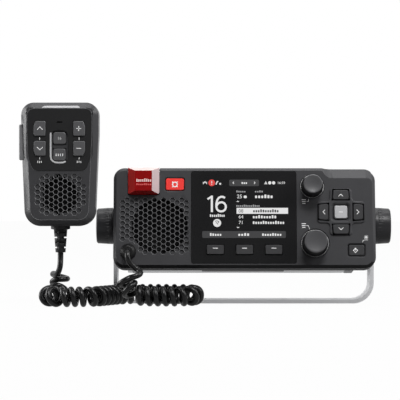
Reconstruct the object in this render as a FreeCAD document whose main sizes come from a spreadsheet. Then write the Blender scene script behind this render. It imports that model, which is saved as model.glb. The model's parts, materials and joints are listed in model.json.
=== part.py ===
import FreeCAD, Part
import Sketcher
import math
import os

# Fixed-mount marine radio with AIS on a gimbal bracket, a fist handset beside it and the curly
# cord that joins the two. Millimetres. The frame's origin is the centre of the bracket base's
# underside: +X to the right seen from the front, the face looks towards -Y, +Z up.
# Pieces of the radio are drawn in the radio's own frame, whose origin is the pivot, and pieces of
# the handset in the handset's frame, whose origin is the middle of its front shell.

V = FreeCAD.Vector
doc = FreeCAD.newDocument("marine_radio")

# Driving sizes
DRIVING_SIZES = [
    # gimbal bracket, bent from flat bar
    ("pivot_height", 63.0),
    ("bracket_half", 106.0),
    ("bracket_bar", 28.0),
    ("bracket_sheet", 3.0),
    ("bracket_bend", 14.0),
    ("base_hole", 5.2),
    ("base_hole_near", 33.0),
    ("base_hole_far", 75.0),
    ("stud_radius", 3.0),
    ("stud_clearance", 0.2),
    # radio: place and tilt
    ("tilt", 8.5),
    # fascia moulding
    ("fascia_half", 105.0),
    ("fascia_top", 41.5),
    ("fascia_drop", 39.5),
    ("fascia_front", 42.0),
    ("fascia_depth", 18.0),
    ("fascia_corner", 9.0),
    ("fascia_bevel", 2.4),
    ("fascia_wall", 2.5),
    ("face_wall", 3.5),
    ("facet_foot", 33.0),
    ("facet_slope_back", 8.0),
    ("facet_left_top", 56.4),
    ("facet_left_foot", 70.8),
    ("facet_right", 98.0),
    ("facet_backing", 7.0),
    # fits
    ("key_clearance", 0.35),
    ("seat_gap", 0.2),
    ("glass_clearance", 0.15),
    # display
    ("glass_left", 42.7),
    ("glass_right", 41.7),
    ("glass_top", 38.6),
    ("glass_drop", 36.0),
    ("glass_thick", 2.5),
    ("glass_corner", 2.0),
    ("window_half", 38.5),
    ("window_top", 35.5),
    ("window_drop", 19.2),
    ("module_thick", 3.7),
    # soft keys under the display
    ("soft_key_step", 23.4),
    ("soft_key_drop", 24.8),
    ("soft_key_width", 13.6),
    ("soft_key_height", 7.6),
    ("soft_key_proud", 1.0),
    # arrow pad
    ("pad_x", 77.1),
    ("pad_w", 5.4),
    ("pad_reach", 19.2),
    ("pad_arm", 9.0),
    ("pad_height", 1.2),
    ("pad_corner", 3.0),
    ("arrow_near", 9.6),
    ("arrow_far", 18.2),
    ("arrow_near_half", 7.2),
    ("arrow_far_half", 6.4),
    ("arrow_proud", 1.0),
    ("ok_size", 10.8),
    ("ok_funnel", 2.4),
    ("ok_proud", 0.2),
    # power key and overboard button
    ("power_x", 89.4),
    ("power_drop", 25.3),
    ("power_width", 13.2),
    ("power_height", 9.2),
    ("power_proud", 0.3),
    ("overboard_x", 55.8),
    ("overboard_w", 28.0),
    ("overboard_width", 14.7),
    ("overboard_height", 9.8),
    ("overboard_proud", 0.3),
    ("recess_slope", 0.8),
    # distress cover and button
    ("cover_x", 80.8),
    ("cover_width", 25.2),
    ("cover_low", 19.6),
    ("cover_proud", 7.0),
    ("cover_wall", 1.5),
    ("cover_side_slope", 5.8),
    ("cover_top_slope", 3.4),
    ("cover_low_slope", 4.2),
    ("cover_recess", 1.5),
    ("cover_clearance", 0.4),
    ("hinge_w", 38.4),
    ("hinge_back", 3.0),
    ("hinge_radius", 2.9),
    ("hinge_pin", 1.0),
    ("notch_depth", 6.7),
    ("notch_low", 35.1),
    ("notch_backing", 9.5),
    ("distress_width", 14.0),
    ("distress_height", 8.0),
    ("distress_w", 28.5),
    ("distress_proud", 1.6),
    # keys behind the face
    ("key_flange", 0.8),
    ("key_lip", 0.8),
    ("key_travel", 0.8),
    ("key_edge", 0.5),
    ("mat_thick", 1.2),
    ("board_thick", 1.6),
    ("board_half", 96.8),
    ("board_top", 33.5),
    ("board_drop", 32.0),
    ("board_notch", 60.6),
    ("board_notch_top", 30.4),
    # rotary knobs
    ("volume_x", 54.3),
    ("volume_w", 26.3),
    ("volume_radius", 7.6),
    ("volume_skirt", 8.9),
    ("channel_x", 56.3),
    ("channel_drop", 19.9),
    ("channel_radius", 9.8),
    ("channel_skirt", 10.9),
    ("knob_proud", 14.0),
    ("knob_recess", 1.0),
    ("knob_gap", 0.4),
    ("knob_dish", 0.7),
    ("skirt_height", 2.2),
    ("shaft_radius", 3.0),
    ("bush_radius", 3.6),
    ("encoder_size", 12.4),
    ("encoder_depth", 6.5),
    # speaker and grille
    ("speaker_x", 67.2),
    ("speaker_drop", 5.8),
    ("speaker_radius", 23.4),
    ("speaker_open", 22.0),
    ("speaker_depth", 15.0),
    ("magnet_radius", 14.0),
    ("hex_pitch", 4.2),
    ("hex_flats", 3.3),
    ("hex_blind", 1.2),
    ("hex_left", 97.6),
    ("hex_top", 15.3),
    ("hex_bottom", 28.0),
    ("hex_right", 46.0),
    # cord grommet on the face
    ("grommet_x", 92.8),
    ("grommet_drop", 26.3),
    ("grommet_radius", 6.3),
    ("grommet_collar", 4.6),
    ("grommet_proud", 4.5),
    # gasket and housing
    ("gasket_thick", 1.2),
    ("gasket_wide", 3.2),
    ("flange_half", 103.5),
    ("flange_top", 40.0),
    ("flange_drop", 38.0),
    ("flange_thick", 3.8),
    ("flange_corner", 8.0),
    ("housing_half", 97.5),
    ("housing_top", 34.5),
    ("housing_drop", 32.5),
    ("housing_back", 47.0),
    ("housing_chamfer", 5.0),
    ("cavity_half", 84.0),
    ("cavity_margin", 4.0),
    ("cavity_back", 7.0),
    ("boss_radius", 17.0),
    ("boss_half", 101.5),
    ("stud_bore_depth", 14.0),
    ("foot_inner", 85.5),
    ("foot_outer", 91.8),
    ("foot_height", 2.0),
    ("fin_thick", 2.2),
    ("fin_pitch", 7.0),
    ("fin_depth", 13.0),
    ("fin_count", 15),
    ("fin_top_gap", 2.0),
    ("screw_radius", 1.5),
    ("screw_head", 2.5),
    ("screw_head_high", 2.2),
    ("screw_length", 10.0),
    ("screw_side_w", 22.0),
    ("screw_row_x", 50.0),
    ("screw_row_low_x", 40.0),
    ("screw_edge", 2.9),
    ("screw_pilot", 0.15),
    ("boss_wall", 1.6),
    # sockets on the back
    ("socket_x", 76.0),
    ("socket_high", 14.0),
    ("socket_low", 14.0),
    ("socket_pad", 1.5),
    ("vhf_radius", 7.9),
    ("vhf_length", 16.0),
    ("gnss_radius", 5.5),
    ("gnss_length", 12.0),
    ("bus_radius", 6.0),
    ("bus_length", 13.0),
    ("supply_radius", 7.0),
    ("supply_length", 14.0),
    ("socket_plug", 5.0),
    # clamp knobs
    ("clamp_radius", 15.0),
    ("clamp_length", 14.0),
    ("clamp_taper", 0.7),
    ("clamp_gap", 0.3),
    ("clamp_ribs", 36),
    ("clamp_rib_depth", 0.7),
    ("clamp_rib_inset", 4.0),
    ("stud_reach", 12.0),
    # handset: place and shells
    ("handset_x", 147.2),
    ("handset_y", 54.0),
    ("handset_z", 112.7),
    ("handset_half", 30.8),
    ("handset_low_half", 27.6),
    ("handset_height", 98.4),
    ("handset_shoulder", 25.0),
    ("handset_corner", 10.0),
    ("handset_low_corner", 13.0),
    ("handset_front_depth", 13.0),
    ("handset_back_depth", 15.0),
    ("handset_bevel", 5.0),
    ("handset_back_bevel", 4.0),
    ("handset_wall", 2.2),
    ("panel_half", 26.2),
    ("panel_top", 44.4),
    ("panel_low", 5.4),
    ("panel_thick", 1.4),
    ("panel_taper", 3.5),
    ("panel_corner", 4.0),
    ("side_key_x", 15.7),
    ("side_key_width", 9.5),
    ("side_key_height", 11.9),
    ("side_key_high", 28.3),
    ("side_key_low", 12.5),
    ("mid_key_width", 10.2),
    ("mid_key_height", 9.7),
    ("mid_key_high", 20.7),
    ("mid_key_low", 7.6),
    ("handset_key_proud", 1.2),
    ("mid_pocket_half", 7.2),
    ("mid_pocket_slope", 0.9),
    ("handset_grille_w", 24.0),
    ("handset_grille_radius", 15.2),
    ("handset_speaker_radius", 17.0),
    ("handset_speaker_depth", 7.0),
    ("mic_w", 33.8),
    ("mic_radius", 3.4),
    ("mic_depth", 5.0),
    ("mic_slit", 4.4),
    ("mic_slit_high", 1.2),
    ("ptt_w", 17.6),
    ("ptt_height", 28.6),
    ("ptt_width", 9.0),
    ("ptt_proud", 1.8),
    ("ptt_travel", 1.2),
    ("ptt_depth", 4.5),
    ("hang_w", 17.0),
    ("hang_neck", 3.0),
    ("hang_neck_length", 5.2),
    ("hang_head", 6.5),
    ("hang_head_thick", 2.5),
    ("handset_screw_x", 21.0),
    ("handset_screw_w", 36.0),
    # handset hanger for the bulkhead
    ("clip_half", 14.0),
    ("clip_low", 13.0),
    ("clip_rise", 16.0),
    ("clip_plate", 2.2),
    ("clip_base", 2.5),
    ("clip_gap", 2.4),
    ("clip_slack", 0.4),
    ("clip_flange", 11.0),
    ("clip_hole_x", 9.0),
    ("clip_hole_radius", 2.1),
    # cord
    ("wire_radius", 2.3),
    ("curl_radius", 5.9),
    ("curl_pitch", 5.75),
    ("curl_gap", 0.8),
    ("boot_length", 21.0),
    ("boot_top_radius", 5.4),
    ("boot_low_radius", 4.0),
    ("boot_flange_radius", 7.7),
    ("boot_flange_thick", 2.3),
]

sheet = doc.addObject("Spreadsheet::Sheet", "Sizes")
for row, (alias, value) in enumerate(DRIVING_SIZES, 1):
    sheet.set("A%d" % row, alias)
    sheet.set("B%d" % row, str(value))
    sheet.setAlias("B%d" % row, alias)
doc.recompute()


class Size:
    """A length that knows its number and the sheet formula that it comes from."""

    def __init__(self, number, formula):
        self.number = float(number)
        self.formula = formula

    def __add__(self, other):
        other = as_size(other)
        return Size(self.number + other.number, "(%s + %s)" % (self.formula, other.formula))

    def __sub__(self, other):
        other = as_size(other)
        return Size(self.number - other.number, "(%s - %s)" % (self.formula, other.formula))

    def __mul__(self, other):
        other = as_size(other)
        return Size(self.number * other.number, "(%s * %s)" % (self.formula, other.formula))

    def __truediv__(self, other):
        other = as_size(other)
        return Size(self.number / other.number, "(%s / %s)" % (self.formula, other.formula))

    def __radd__(self, other):
        return as_size(other) + self

    def __rsub__(self, other):
        return as_size(other) - self

    def __rmul__(self, other):
        return as_size(other) * self

    def __neg__(self):
        return Size(-self.number, "(-%s)" % self.formula)

    def __float__(self):
        return self.number


class SheetSizes:
    """The sheet's cells, read by their alias."""

    def __getattr__(self, alias):
        return Size(sheet.get(alias), "Sizes." + alias)


def as_size(value):
    if isinstance(value, Size):
        return value
    return Size(value, "(%s)" % float(value))


def bind(thing, name, value):
    """Ties one property of an object to the sheet."""
    thing.setExpression(name, as_size(value).formula)


s = SheetSizes()
PLANES = {"front": "XZ_Plane", "floor": "XY_Plane", "side": "YZ_Plane"}


def new_body(name):
    body = doc.addObject("PartDesign::Body", name)
    body.Label = name
    return body


class Drawing:
    """A sketch on one of a body's own planes, moved along the plane's axis to a place."""

    def __init__(self, body, view, at=0.0):
        self.body = body
        role = PLANES[view]
        plane = [item for item in body.Origin.OriginFeatures if item.Role == role][0]
        self.sketch = body.newObject("Sketcher::SketchObject", "drawing")
        self.sketch.AttachmentSupport = [(plane, "")]
        self.sketch.MapMode = "FlatFace"
        along_normal = -as_size(at) if view == "front" else as_size(at)
        bind(self.sketch, "AttachmentOffset.Base.z", along_normal)

    def hold(self, kind, *where, value):
        number = self.sketch.addConstraint(Sketcher.Constraint(kind, *where, float(value)))
        self.sketch.setExpression("Constraints[%d]" % number, as_size(value).formula)

    def polygon(self, points):
        """A closed outline of straight lines through the points."""
        first = len(self.sketch.Geometry)
        count = len(points)
        ends = [V(float(x), float(y), 0) for x, y in points]
        lines = [Part.LineSegment(ends[i], ends[(i + 1) % count]) for i in range(count)]
        self.sketch.addGeometry(lines, False)
        joins = []
        for i in range(count):
            joins.append(Sketcher.Constraint("Coincident", first + i, 2, first + (i + 1) % count, 1))
        self.sketch.addConstraint(joins)
        for i, (x, y) in enumerate(points):
            self.hold("DistanceX", -1, 1, first + i, 1, value=x)
            self.hold("DistanceY", -1, 1, first + i, 1, value=y)
        return self

    def circle(self, x, y, radius):
        first = len(self.sketch.Geometry)
        ring = Part.Circle(V(float(x), float(y), 0), V(0, 0, 1), float(radius))
        self.sketch.addGeometry(ring, False)
        self.hold("DistanceX", -1, 1, first, 3, value=x)
        self.hold("DistanceY", -1, 1, first, 3, value=y)
        self.hold("Radius", first, value=radius)
        return self

    def rectangle(self, left, right, low, high, corner=None):
        """A rectangle, with round corners where a corner radius is given."""
        if corner is None:
            return self.polygon([(left, low), (right, low), (right, high), (left, high)])
        first = len(self.sketch.Geometry)
        a, b, c, d, r = float(left), float(right), float(low), float(high), float(corner)
        quarter = math.pi / 2
        sides = [((a + r, c), (b - r, c)), ((b, c + r), (b, d - r)),
                 ((b - r, d), (a + r, d)), ((a, d - r), (a, c + r))]
        turns = [(b - r, c + r, -quarter), (b - r, d - r, 0.0),
                 (a + r, d - r, quarter), (a + r, c + r, 2 * quarter)]
        shapes = []
        joins = []
        for k in range(4):
            start, end = sides[k]
            x, y, begin = turns[k]
            line, arc, after = first + 2 * k, first + 2 * k + 1, first + (2 * k + 2) % 8
            shapes.append(Part.LineSegment(V(*start, 0), V(*end, 0)))
            shapes.append(Part.ArcOfCircle(Part.Circle(V(x, y, 0), V(0, 0, 1), r),
                                           begin, begin + quarter))
            joins.append(Sketcher.Constraint("Tangent", line, 2, arc, 1))
            joins.append(Sketcher.Constraint("Tangent", arc, 2, after, 1))
            joins.append(Sketcher.Constraint("Vertical" if k % 2 else "Horizontal", line))
            if k:
                joins.append(Sketcher.Constraint("Equal", first + 1, arc))
        self.sketch.addGeometry(shapes, False)
        self.sketch.addConstraint(joins)
        self.hold("DistanceY", -1, 1, first, 1, value=low)
        self.hold("DistanceX", -1, 1, first + 2, 1, value=right)
        self.hold("DistanceY", -1, 1, first + 4, 1, value=high)
        self.hold("DistanceX", -1, 1, first + 6, 1, value=left)
        self.hold("Radius", first + 1, value=corner)
        return self

    def feature(self, kind):
        made = self.body.newObject("PartDesign::" + kind, kind.lower())
        made.Profile = self.sketch
        return made

    def pad(self, length, both_ways=False):
        made = self.feature("Pad")
        bind(made, "Length", length)
        if both_ways:
            made.Midplane = True
        return made

    def pocket(self, length, both_ways=False):
        made = self.feature("Pocket")
        bind(made, "Length", length)
        if both_ways:
            made.Midplane = True
        return made

    def turn(self):
        made = self.feature("Revolution")
        made.ReferenceAxis = (self.sketch, ["V_Axis"])
        made.Angle = 360.0
        return made


def samples(edge):
    first, last = edge.ParameterRange
    return [edge.valueAt(first), edge.valueAt((first + last) / 2), edge.valueAt(last)]


def in_plane(edge, axis, place):
    return all(abs(getattr(point, axis) - float(place)) < 0.01 for point in samples(edge))


def along(edge, axis):
    start, middle, end = samples(edge)
    across = [name for name in "xyz" if name != axis]
    return all(abs(getattr(start, name) - getattr(end, name)) < 0.001 and
               abs(getattr(start, name) - getattr(middle, name)) < 0.001 for name in across)


def within(edge, x_range=None, z_range=None):
    point = samples(edge)[1]
    fits_x = x_range is None or float(x_range[0]) <= point.x <= float(x_range[1])
    fits_z = z_range is None or float(z_range[0]) <= point.z <= float(z_range[1])
    return fits_x and fits_z


def dress(body, kind, size, test):
    """A Fillet or Chamfer on the edges of the body's last feature that pass the test."""
    doc.recompute()
    base = body.Tip
    names = ["Edge%d" % (n + 1) for n, edge in enumerate(base.Shape.Edges) if test(edge)]
    made = body.newObject("PartDesign::" + kind, kind.lower())
    made.Base = (base, names)
    bind(made, "Radius" if kind == "Fillet" else "Size", size)
    body.Tip = made
    return made


def vector_text(place):
    return "create(<<vector>>; %s; %s; %s)" % tuple(as_size(value).formula for value in place)


def placement_text(place, axis=(0, 0, 1), degrees=0.0):
    return "create(<<placement>>; %s; create(<<rotation>>; %s; %s))" % (
        vector_text(place), vector_text(axis), as_size(degrees).formula)


RADIO_FRAME = placement_text((0, 0, s.pivot_height), (1, 0, 0), -s.tilt)
HANDSET_FRAME = placement_text((-s.handset_x, -s.handset_y, s.handset_z))
X_AXIS = (1, 0, 0)
Y_AXIS = (0, 1, 0)


def seat(piece, frame=None, place=None, axis=(0, 0, 1), degrees=0.0):
    """Puts a finished piece in its frame, at a place and turn of its own where it has one."""
    steps = [frame] if frame else []
    if place is not None:
        steps.append(placement_text(place, axis, degrees))
    if steps:
        piece.setExpression("Placement", " * ".join(steps))
    return piece


def cylinder(name, radius, height, place=(0, 0, 0), axis=(0, 0, 1), degrees=0.0):
    made = doc.addObject("Part::Cylinder", name)
    bind(made, "Radius", radius)
    bind(made, "Height", height)
    return seat(made, None, place, axis, degrees)


def block(name, corner, size):
    made = doc.addObject("Part::Box", name)
    bind(made, "Length", size[0])
    bind(made, "Width", size[1])
    bind(made, "Height", size[2])
    return seat(made, None, corner)


def named(name, piece):
    piece.Label = name
    return piece


def fuse(name, pieces):
    made = doc.addObject("Part::MultiFuse", name)
    made.Shapes = pieces
    made.Label = name
    return made


def cut(name, base, tool):
    made = doc.addObject("Part::Cut", name)
    made.Base = base
    made.Tool = tool
    made.Label = name
    return made


def group(name, pieces):
    """Several separate solids of one kind in one node."""
    made = doc.addObject("Part::Compound", name)
    made.Links = pieces
    made.Label = name
    return made


def shaped(name, shape):
    made = doc.addObject("Part::Feature", name)
    made.Shape = shape
    made.Label = name
    return made


PIECES = []


def keep(piece, frame=None, place=None, axis=(0, 0, 1), degrees=0.0):
    """Seats a finished sub-part and marks it as a node of its own."""
    seat(piece, frame, place, axis, degrees)
    PIECES.append(piece)
    return piece


def lattice(left, right, low, high, first_high, pitch, allowed):
    """Centres of a flat-topped hexagon lattice, column by column, where they are allowed."""
    column_step = pitch * math.cos(math.radians(30))
    centres = []
    column = 0
    while left + column * column_step <= right + 0.01:
        x = left + column * column_step
        w = first_high - (0.0 if column % 2 else pitch / 2)
        while w >= low - 0.01:
            if w <= high + 0.01 and allowed(x, w):
                centres.append((x, w))
            w -= pitch
        column += 1
    return centres


def hex_prisms(centres, flats, y_from, depth):
    """Hexagonal prisms that run back from a face, for cutting a grille."""
    corner = flats / math.sqrt(3)
    prisms = []
    for x, w in centres:
        points = []
        for k in range(7):
            angle = math.radians(60 * k)
            points.append(V(x + corner * math.cos(angle), y_from, w + corner * math.sin(angle)))
        prisms.append(Part.Face(Part.makePolygon(points)).extrude(V(0, depth, 0)))
    return prisms


# Planes of the radio, counted from the pivot: the face looks towards -Y
face_y = -s.fascia_front
inner_y = face_y + s.face_wall
rim_y = face_y + s.fascia_depth
flange_front_y = inner_y + s.seat_gap
key_back_y = flange_front_y + s.key_flange
mat_y = key_back_y + s.key_travel + 0.1
board_y = mat_y + s.mat_thick
gasket_back_y = rim_y + s.gasket_thick
flange_back_y = gasket_back_y + s.flange_thick

# Gimbal bracket: one flat bar bent to a U, round ends about the pivot, four screw holes
bracket = new_body("bracket")
outline = Drawing(bracket, "front")
inner_half = s.bracket_half - s.bracket_sheet
leg_top = s.pivot_height + s.bracket_bar / 2
outline.polygon([(-s.bracket_half, 0), (s.bracket_half, 0), (s.bracket_half, leg_top),
                 (inner_half, leg_top), (inner_half, s.bracket_sheet),
                 (-inner_half, s.bracket_sheet), (-inner_half, leg_top),
                 (-s.bracket_half, leg_top)])
outline.pad(s.bracket_bar, both_ways=True)
dress(bracket, "Fillet", s.bracket_bend + s.bracket_sheet,
      lambda e: along(e, "y") and in_plane(e, "z", 0))
dress(bracket, "Fillet", s.bracket_bend,
      lambda e: along(e, "y") and in_plane(e, "z", s.bracket_sheet))
dress(bracket, "Fillet", s.bracket_bar / 2 - 0.01,
      lambda e: along(e, "x") and in_plane(e, "z", leg_top))
pivot_holes = Drawing(bracket, "side")
pivot_holes.circle(0, s.pivot_height, s.stud_radius + s.stud_clearance)
pivot_holes.pocket(2 * s.bracket_half + 2, both_ways=True)
base_holes = Drawing(bracket, "floor", s.bracket_sheet)
for hole_x in (-s.base_hole_far, -s.base_hole_near, s.base_hole_near, s.base_hole_far):
    base_holes.circle(hole_x, 0, s.base_hole / 2)
base_holes.pocket(s.bracket_sheet + 1)
keep(bracket)

# Rubber washers between the bracket legs and the housing bosses
washers = []
for side in (-1, 1):
    start = s.boss_half if side > 0 else -inner_half
    ring = cylinder("washer_disc", s.boss_radius - 3, inner_half - s.boss_half - 0.05,
                    (start + (0.0 if side > 0 else 0.05), 0, s.pivot_height), Y_AXIS, 90)
    hole = cylinder("washer_hole", s.stud_radius + s.stud_clearance + 0.3,
                    inner_half - s.boss_half + 2, (start - 1, 0, s.pivot_height), Y_AXIS, 90)
    washers.append(cut("washer", ring, hole))
keep(group("friction_washers", washers))

# Fascia: the moulded front with every opening of the face
moulding = new_body("fascia_moulding")
Drawing(moulding, "front", rim_y).rectangle(
    -s.fascia_half, s.fascia_half, -s.fascia_drop, s.fascia_top, s.fascia_corner).pad(s.fascia_depth)
dress(moulding, "Chamfer", s.fascia_bevel, lambda e: in_plane(e, "y", face_y))
Drawing(moulding, "front", inner_y).rectangle(
    -s.fascia_half + s.fascia_wall, s.fascia_half - s.fascia_wall,
    -s.fascia_drop + s.fascia_wall, s.fascia_top - s.fascia_wall,
    s.fascia_corner - s.fascia_wall).pocket(s.fascia_depth)

# Thick places behind the facet and behind the cover's hinge notch, and the screw bosses
wall_line = s.fascia_half - s.fascia_wall
roof_line = s.fascia_top - s.fascia_wall
facet_back_y = inner_y + s.facet_backing
Drawing(moulding, "front", facet_back_y).rectangle(
    s.board_notch + 0.4, wall_line, s.board_notch_top + 0.4, roof_line).pad(s.facet_backing)
notch_back_y = face_y + s.notch_backing
cover_left = -s.cover_x - s.cover_width / 2
cover_right = -s.cover_x + s.cover_width / 2
Drawing(moulding, "front", notch_back_y).rectangle(
    cover_left - 2.4, cover_right + 2.4, s.board_top + 0.2, roof_line).pad(notch_back_y - inner_y)
screw_spots = []
for side in (-1, 1):
    screw_spots.append((side * (s.flange_half - s.screw_edge), s.screw_side_w))
    screw_spots.append((side * (s.flange_half - s.screw_edge), -s.screw_side_w + 8))
    screw_spots.append((side * s.screw_row_x, s.flange_top - s.screw_edge))
    screw_spots.append((side * s.screw_row_low_x, -s.flange_drop + s.screw_edge))
boss_radius = s.screw_radius + s.boss_wall
bosses = Drawing(moulding, "front", rim_y)
for x, w in screw_spots:
    bosses.circle(x, w, boss_radius)
bosses.pad(s.fascia_depth - s.face_wall)
pilots = Drawing(moulding, "front", rim_y - s.screw_length + s.flange_thick + s.gasket_thick)
for x, w in screw_spots:
    pilots.circle(x, w, s.screw_radius + s.screw_pilot)
pilots.pocket(s.screw_length)

# Raised plus of the arrow pad, with sloped flanks
plus = []
for k in range(4):
    dx = (1, 0, -1, 0)[k]
    dw = (0, 1, 0, -1)[k]
    for u, v in ((s.pad_reach, -s.pad_arm), (s.pad_reach, s.pad_arm), (s.pad_arm, s.pad_arm)):
        plus.append((s.pad_x + u * dx - v * dw, s.pad_w + u * dw + v * dx))
Drawing(moulding, "front", face_y).polygon(plus).pad(s.pad_height)
plateau_y = face_y - s.pad_height
pad_span_x = (s.pad_x - s.pad_reach - 0.1, s.pad_x + s.pad_reach + 0.1)
pad_span_w = (s.pad_w - s.pad_reach - 0.1, s.pad_w + s.pad_reach + 0.1)
dress(moulding, "Fillet", s.pad_corner,
      lambda e: along(e, "y") and within(e, pad_span_x, pad_span_w) and
      abs(samples(e)[1].y - float(face_y - s.pad_height / 2)) < 0.1)
dress(moulding, "Chamfer", s.pad_height - 0.15,
      lambda e: in_plane(e, "y", plateau_y) and within(e, pad_span_x, pad_span_w))

# Openings for the keys of the right side
gap = s.key_clearance
ok_half = s.ok_size / 2


def arrow_points(dx, dw, grow=0.0):
    """Corners of the arrow key that points along dx, dw from the OK key."""
    corners = [(s.arrow_near - grow, -s.arrow_near_half - grow),
               (s.arrow_far + grow, -s.arrow_far_half - grow),
               (s.arrow_far + grow, s.arrow_far_half + grow),
               (s.arrow_near - grow, s.arrow_near_half + grow)]
    return [(s.pad_x + u * dx - v * dw, s.pad_w + u * dw + v * dx) for u, v in corners]


ARROWS = (("up_key", 0, 1), ("down_key", 0, -1), ("left_key", -1, 0), ("right_key", 1, 0))
key_holes = Drawing(moulding, "front", plateau_y)
for name, dx, dw in ARROWS:
    key_holes.polygon(arrow_points(dx, dw, gap))
key_holes.pocket(s.face_wall + s.pad_height)
ok_hole = Drawing(moulding, "front", plateau_y)
ok_hole.rectangle(s.pad_x - ok_half - gap, s.pad_x + ok_half + gap,
                  s.pad_w - ok_half - gap, s.pad_w + ok_half + gap, 1.5)
ok_hole.pocket(s.face_wall + s.pad_height)
ok_reach = ok_half + gap + 0.1
dress(moulding, "Chamfer", s.ok_funnel,
      lambda e: in_plane(e, "y", plateau_y) and
      within(e, (s.pad_x - ok_reach, s.pad_x + ok_reach), (s.pad_w - ok_reach, s.pad_w + ok_reach)))

# Recessed openings of the power key and of the overboard button
RECESSED = (("power_key", s.power_x, -s.power_drop, s.power_width, s.power_height, s.power_proud),
            ("overboard_button", -s.overboard_x, s.overboard_w, s.overboard_width,
             s.overboard_height, s.overboard_proud))
for name, x, w, width, height, proud in RECESSED:
    half_x = width / 2 + gap
    half_w = height / 2 + gap
    Drawing(moulding, "front", face_y).rectangle(
        x - half_x, x + half_x, w - half_w, w + half_w, 1.8).pocket(s.face_wall)
    dress(moulding, "Chamfer", s.recess_slope,
          lambda e: in_plane(e, "y", face_y) and
          within(e, (x - half_x - 0.1, x + half_x + 0.1), (w - half_w - 0.1, w + half_w + 0.1)))

# Knob recesses and shaft holes
KNOBS = (("volume", s.volume_x, s.volume_w, s.volume_radius, s.volume_skirt),
         ("channel", s.channel_x, -s.channel_drop, s.channel_radius, s.channel_skirt))
for name, x, w, radius, skirt in KNOBS:
    ring = skirt + s.knob_gap
    Drawing(moulding, "front", face_y).circle(x, w, ring).pocket(s.knob_recess)
    dress(moulding, "Chamfer", s.knob_recess - 0.3,
          lambda e: in_plane(e, "y", face_y) and
          within(e, (x - ring - 0.1, x + ring + 0.1), (w - ring - 0.1, w + ring + 0.1)))
    Drawing(moulding, "front", face_y).circle(x, w, s.bush_radius + 0.1).pocket(s.face_wall)

# Display seat, window and soft key holes
seat_gap = s.glass_clearance
Drawing(moulding, "front", face_y).rectangle(
    -s.glass_left - seat_gap, s.glass_right + seat_gap, -s.glass_drop - seat_gap,
    s.glass_top + seat_gap, s.glass_corner + seat_gap).pocket(s.glass_thick)
Drawing(moulding, "front", face_y).rectangle(
    -s.window_half, s.window_half, -s.window_drop, s.window_top).pocket(s.face_wall)
soft_places = [step * s.soft_key_step for step in (-1, 0, 1)]
soft_half_x = s.soft_key_width / 2
soft_half_w = s.soft_key_height / 2
soft_holes = Drawing(moulding, "front", face_y)
for x in soft_places:
    soft_holes.rectangle(x - soft_half_x - gap, x + soft_half_x + gap,
                         -s.soft_key_drop - soft_half_w - gap, -s.soft_key_drop + soft_half_w + gap)
soft_holes.pocket(s.face_wall)

# Seat of the distress cover, its hinge notch, the button's opening, and the cord's hole
Drawing(moulding, "front", face_y).rectangle(
    cover_left - s.cover_clearance, cover_right + s.cover_clearance,
    s.cover_low - s.cover_clearance, s.fascia_top + 1).pocket(s.cover_recess)
Drawing(moulding, "front", face_y).rectangle(
    cover_left - s.cover_clearance, cover_right + s.cover_clearance,
    s.notch_low, s.fascia_top + 1).pocket(s.notch_depth)
distress_half_x = s.distress_width / 2
distress_half_w = s.distress_height / 2
Drawing(moulding, "front", face_y).rectangle(
    -s.cover_x - distress_half_x - gap, -s.cover_x + distress_half_x + gap,
    s.distress_w - distress_half_w - gap, s.distress_w + distress_half_w + gap).pocket(s.face_wall)
Drawing(moulding, "front", face_y).circle(
    -s.grommet_x, -s.grommet_drop, s.grommet_collar + 0.1).pocket(s.face_wall)
hinge_y = face_y + s.hinge_back
pin_hole = Drawing(moulding, "side", cover_right + s.cover_clearance + 1.8)
pin_hole.circle(hinge_y, s.hinge_w, s.hinge_pin + 0.02)
pin_hole.pocket(s.cover_width + 2 * s.cover_clearance + 3.6)

# Sloped facet at the top right, bounded by an S of two arcs on its left and a round on its right
doc.recompute()
top = float(s.fascia_top) + 3
foot = float(s.facet_foot)
left_top = float(s.facet_left_top)
left_foot = float(s.facet_left_foot)
crest = float(s.fascia_top)
middle = V((left_top + left_foot) / 2, 0, (crest + foot) / 2)
swing_x = (left_foot - left_top) / 2
swing_w = (crest - foot) / 2
swing = (swing_x ** 2 + swing_w ** 2) / (2 * swing_w)
half_turn = math.asin(swing_x / swing) / 2
above = V(left_top, 0, crest)
below = V(left_foot, 0, foot)
convex = V(left_top + swing * math.sin(half_turn), 0, crest - swing * (1 - math.cos(half_turn)))
concave = V(left_foot - swing * math.sin(half_turn), 0, foot + swing * (1 - math.cos(half_turn)))
right = float(s.facet_right)
rim = float(s.fascia_half - s.fascia_bevel)
turn_radius = rim - right
round_middle = V(right + turn_radius * math.sin(math.pi / 4), 0,
                 foot - turn_radius * (1 - math.cos(math.pi / 4)))
round_end = V(rim, 0, foot - turn_radius)
far = float(s.fascia_half) + 3
edges = [
    Part.Arc(above, convex, middle).toShape(),
    Part.Arc(middle, concave, below).toShape(),
    Part.makeLine(below, V(right, 0, foot)),
    Part.Arc(V(right, 0, foot), round_middle, round_end).toShape(),
    Part.makeLine(round_end, V(far, 0, round_end.z)),
    Part.makeLine(V(far, 0, round_end.z), V(far, 0, top)),
    Part.makeLine(V(far, 0, top), V(left_top, 0, top)),
    Part.makeLine(V(left_top, 0, top), above),
]
facet_face = Part.Face(Part.Wire(edges))
slope = V(0, float(s.facet_slope_back), crest - foot)
start = float(face_y)
facet_face.translate(V(0, start, 0) - slope)
facet_tool = shaped("facet_tool", facet_face.extrude(slope * 3))

# Speaker grille: open hexagons over the cone and blind ones around them
grommet_place = (-float(s.grommet_x), -float(s.grommet_drop))
keep_off = float(s.grommet_radius + s.hex_pitch / 2)
speaker_place = (-float(s.speaker_x), -float(s.speaker_drop))


def beside_grommet(x, w):
    return math.hypot(x - grommet_place[0], w - grommet_place[1]) > keep_off


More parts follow.
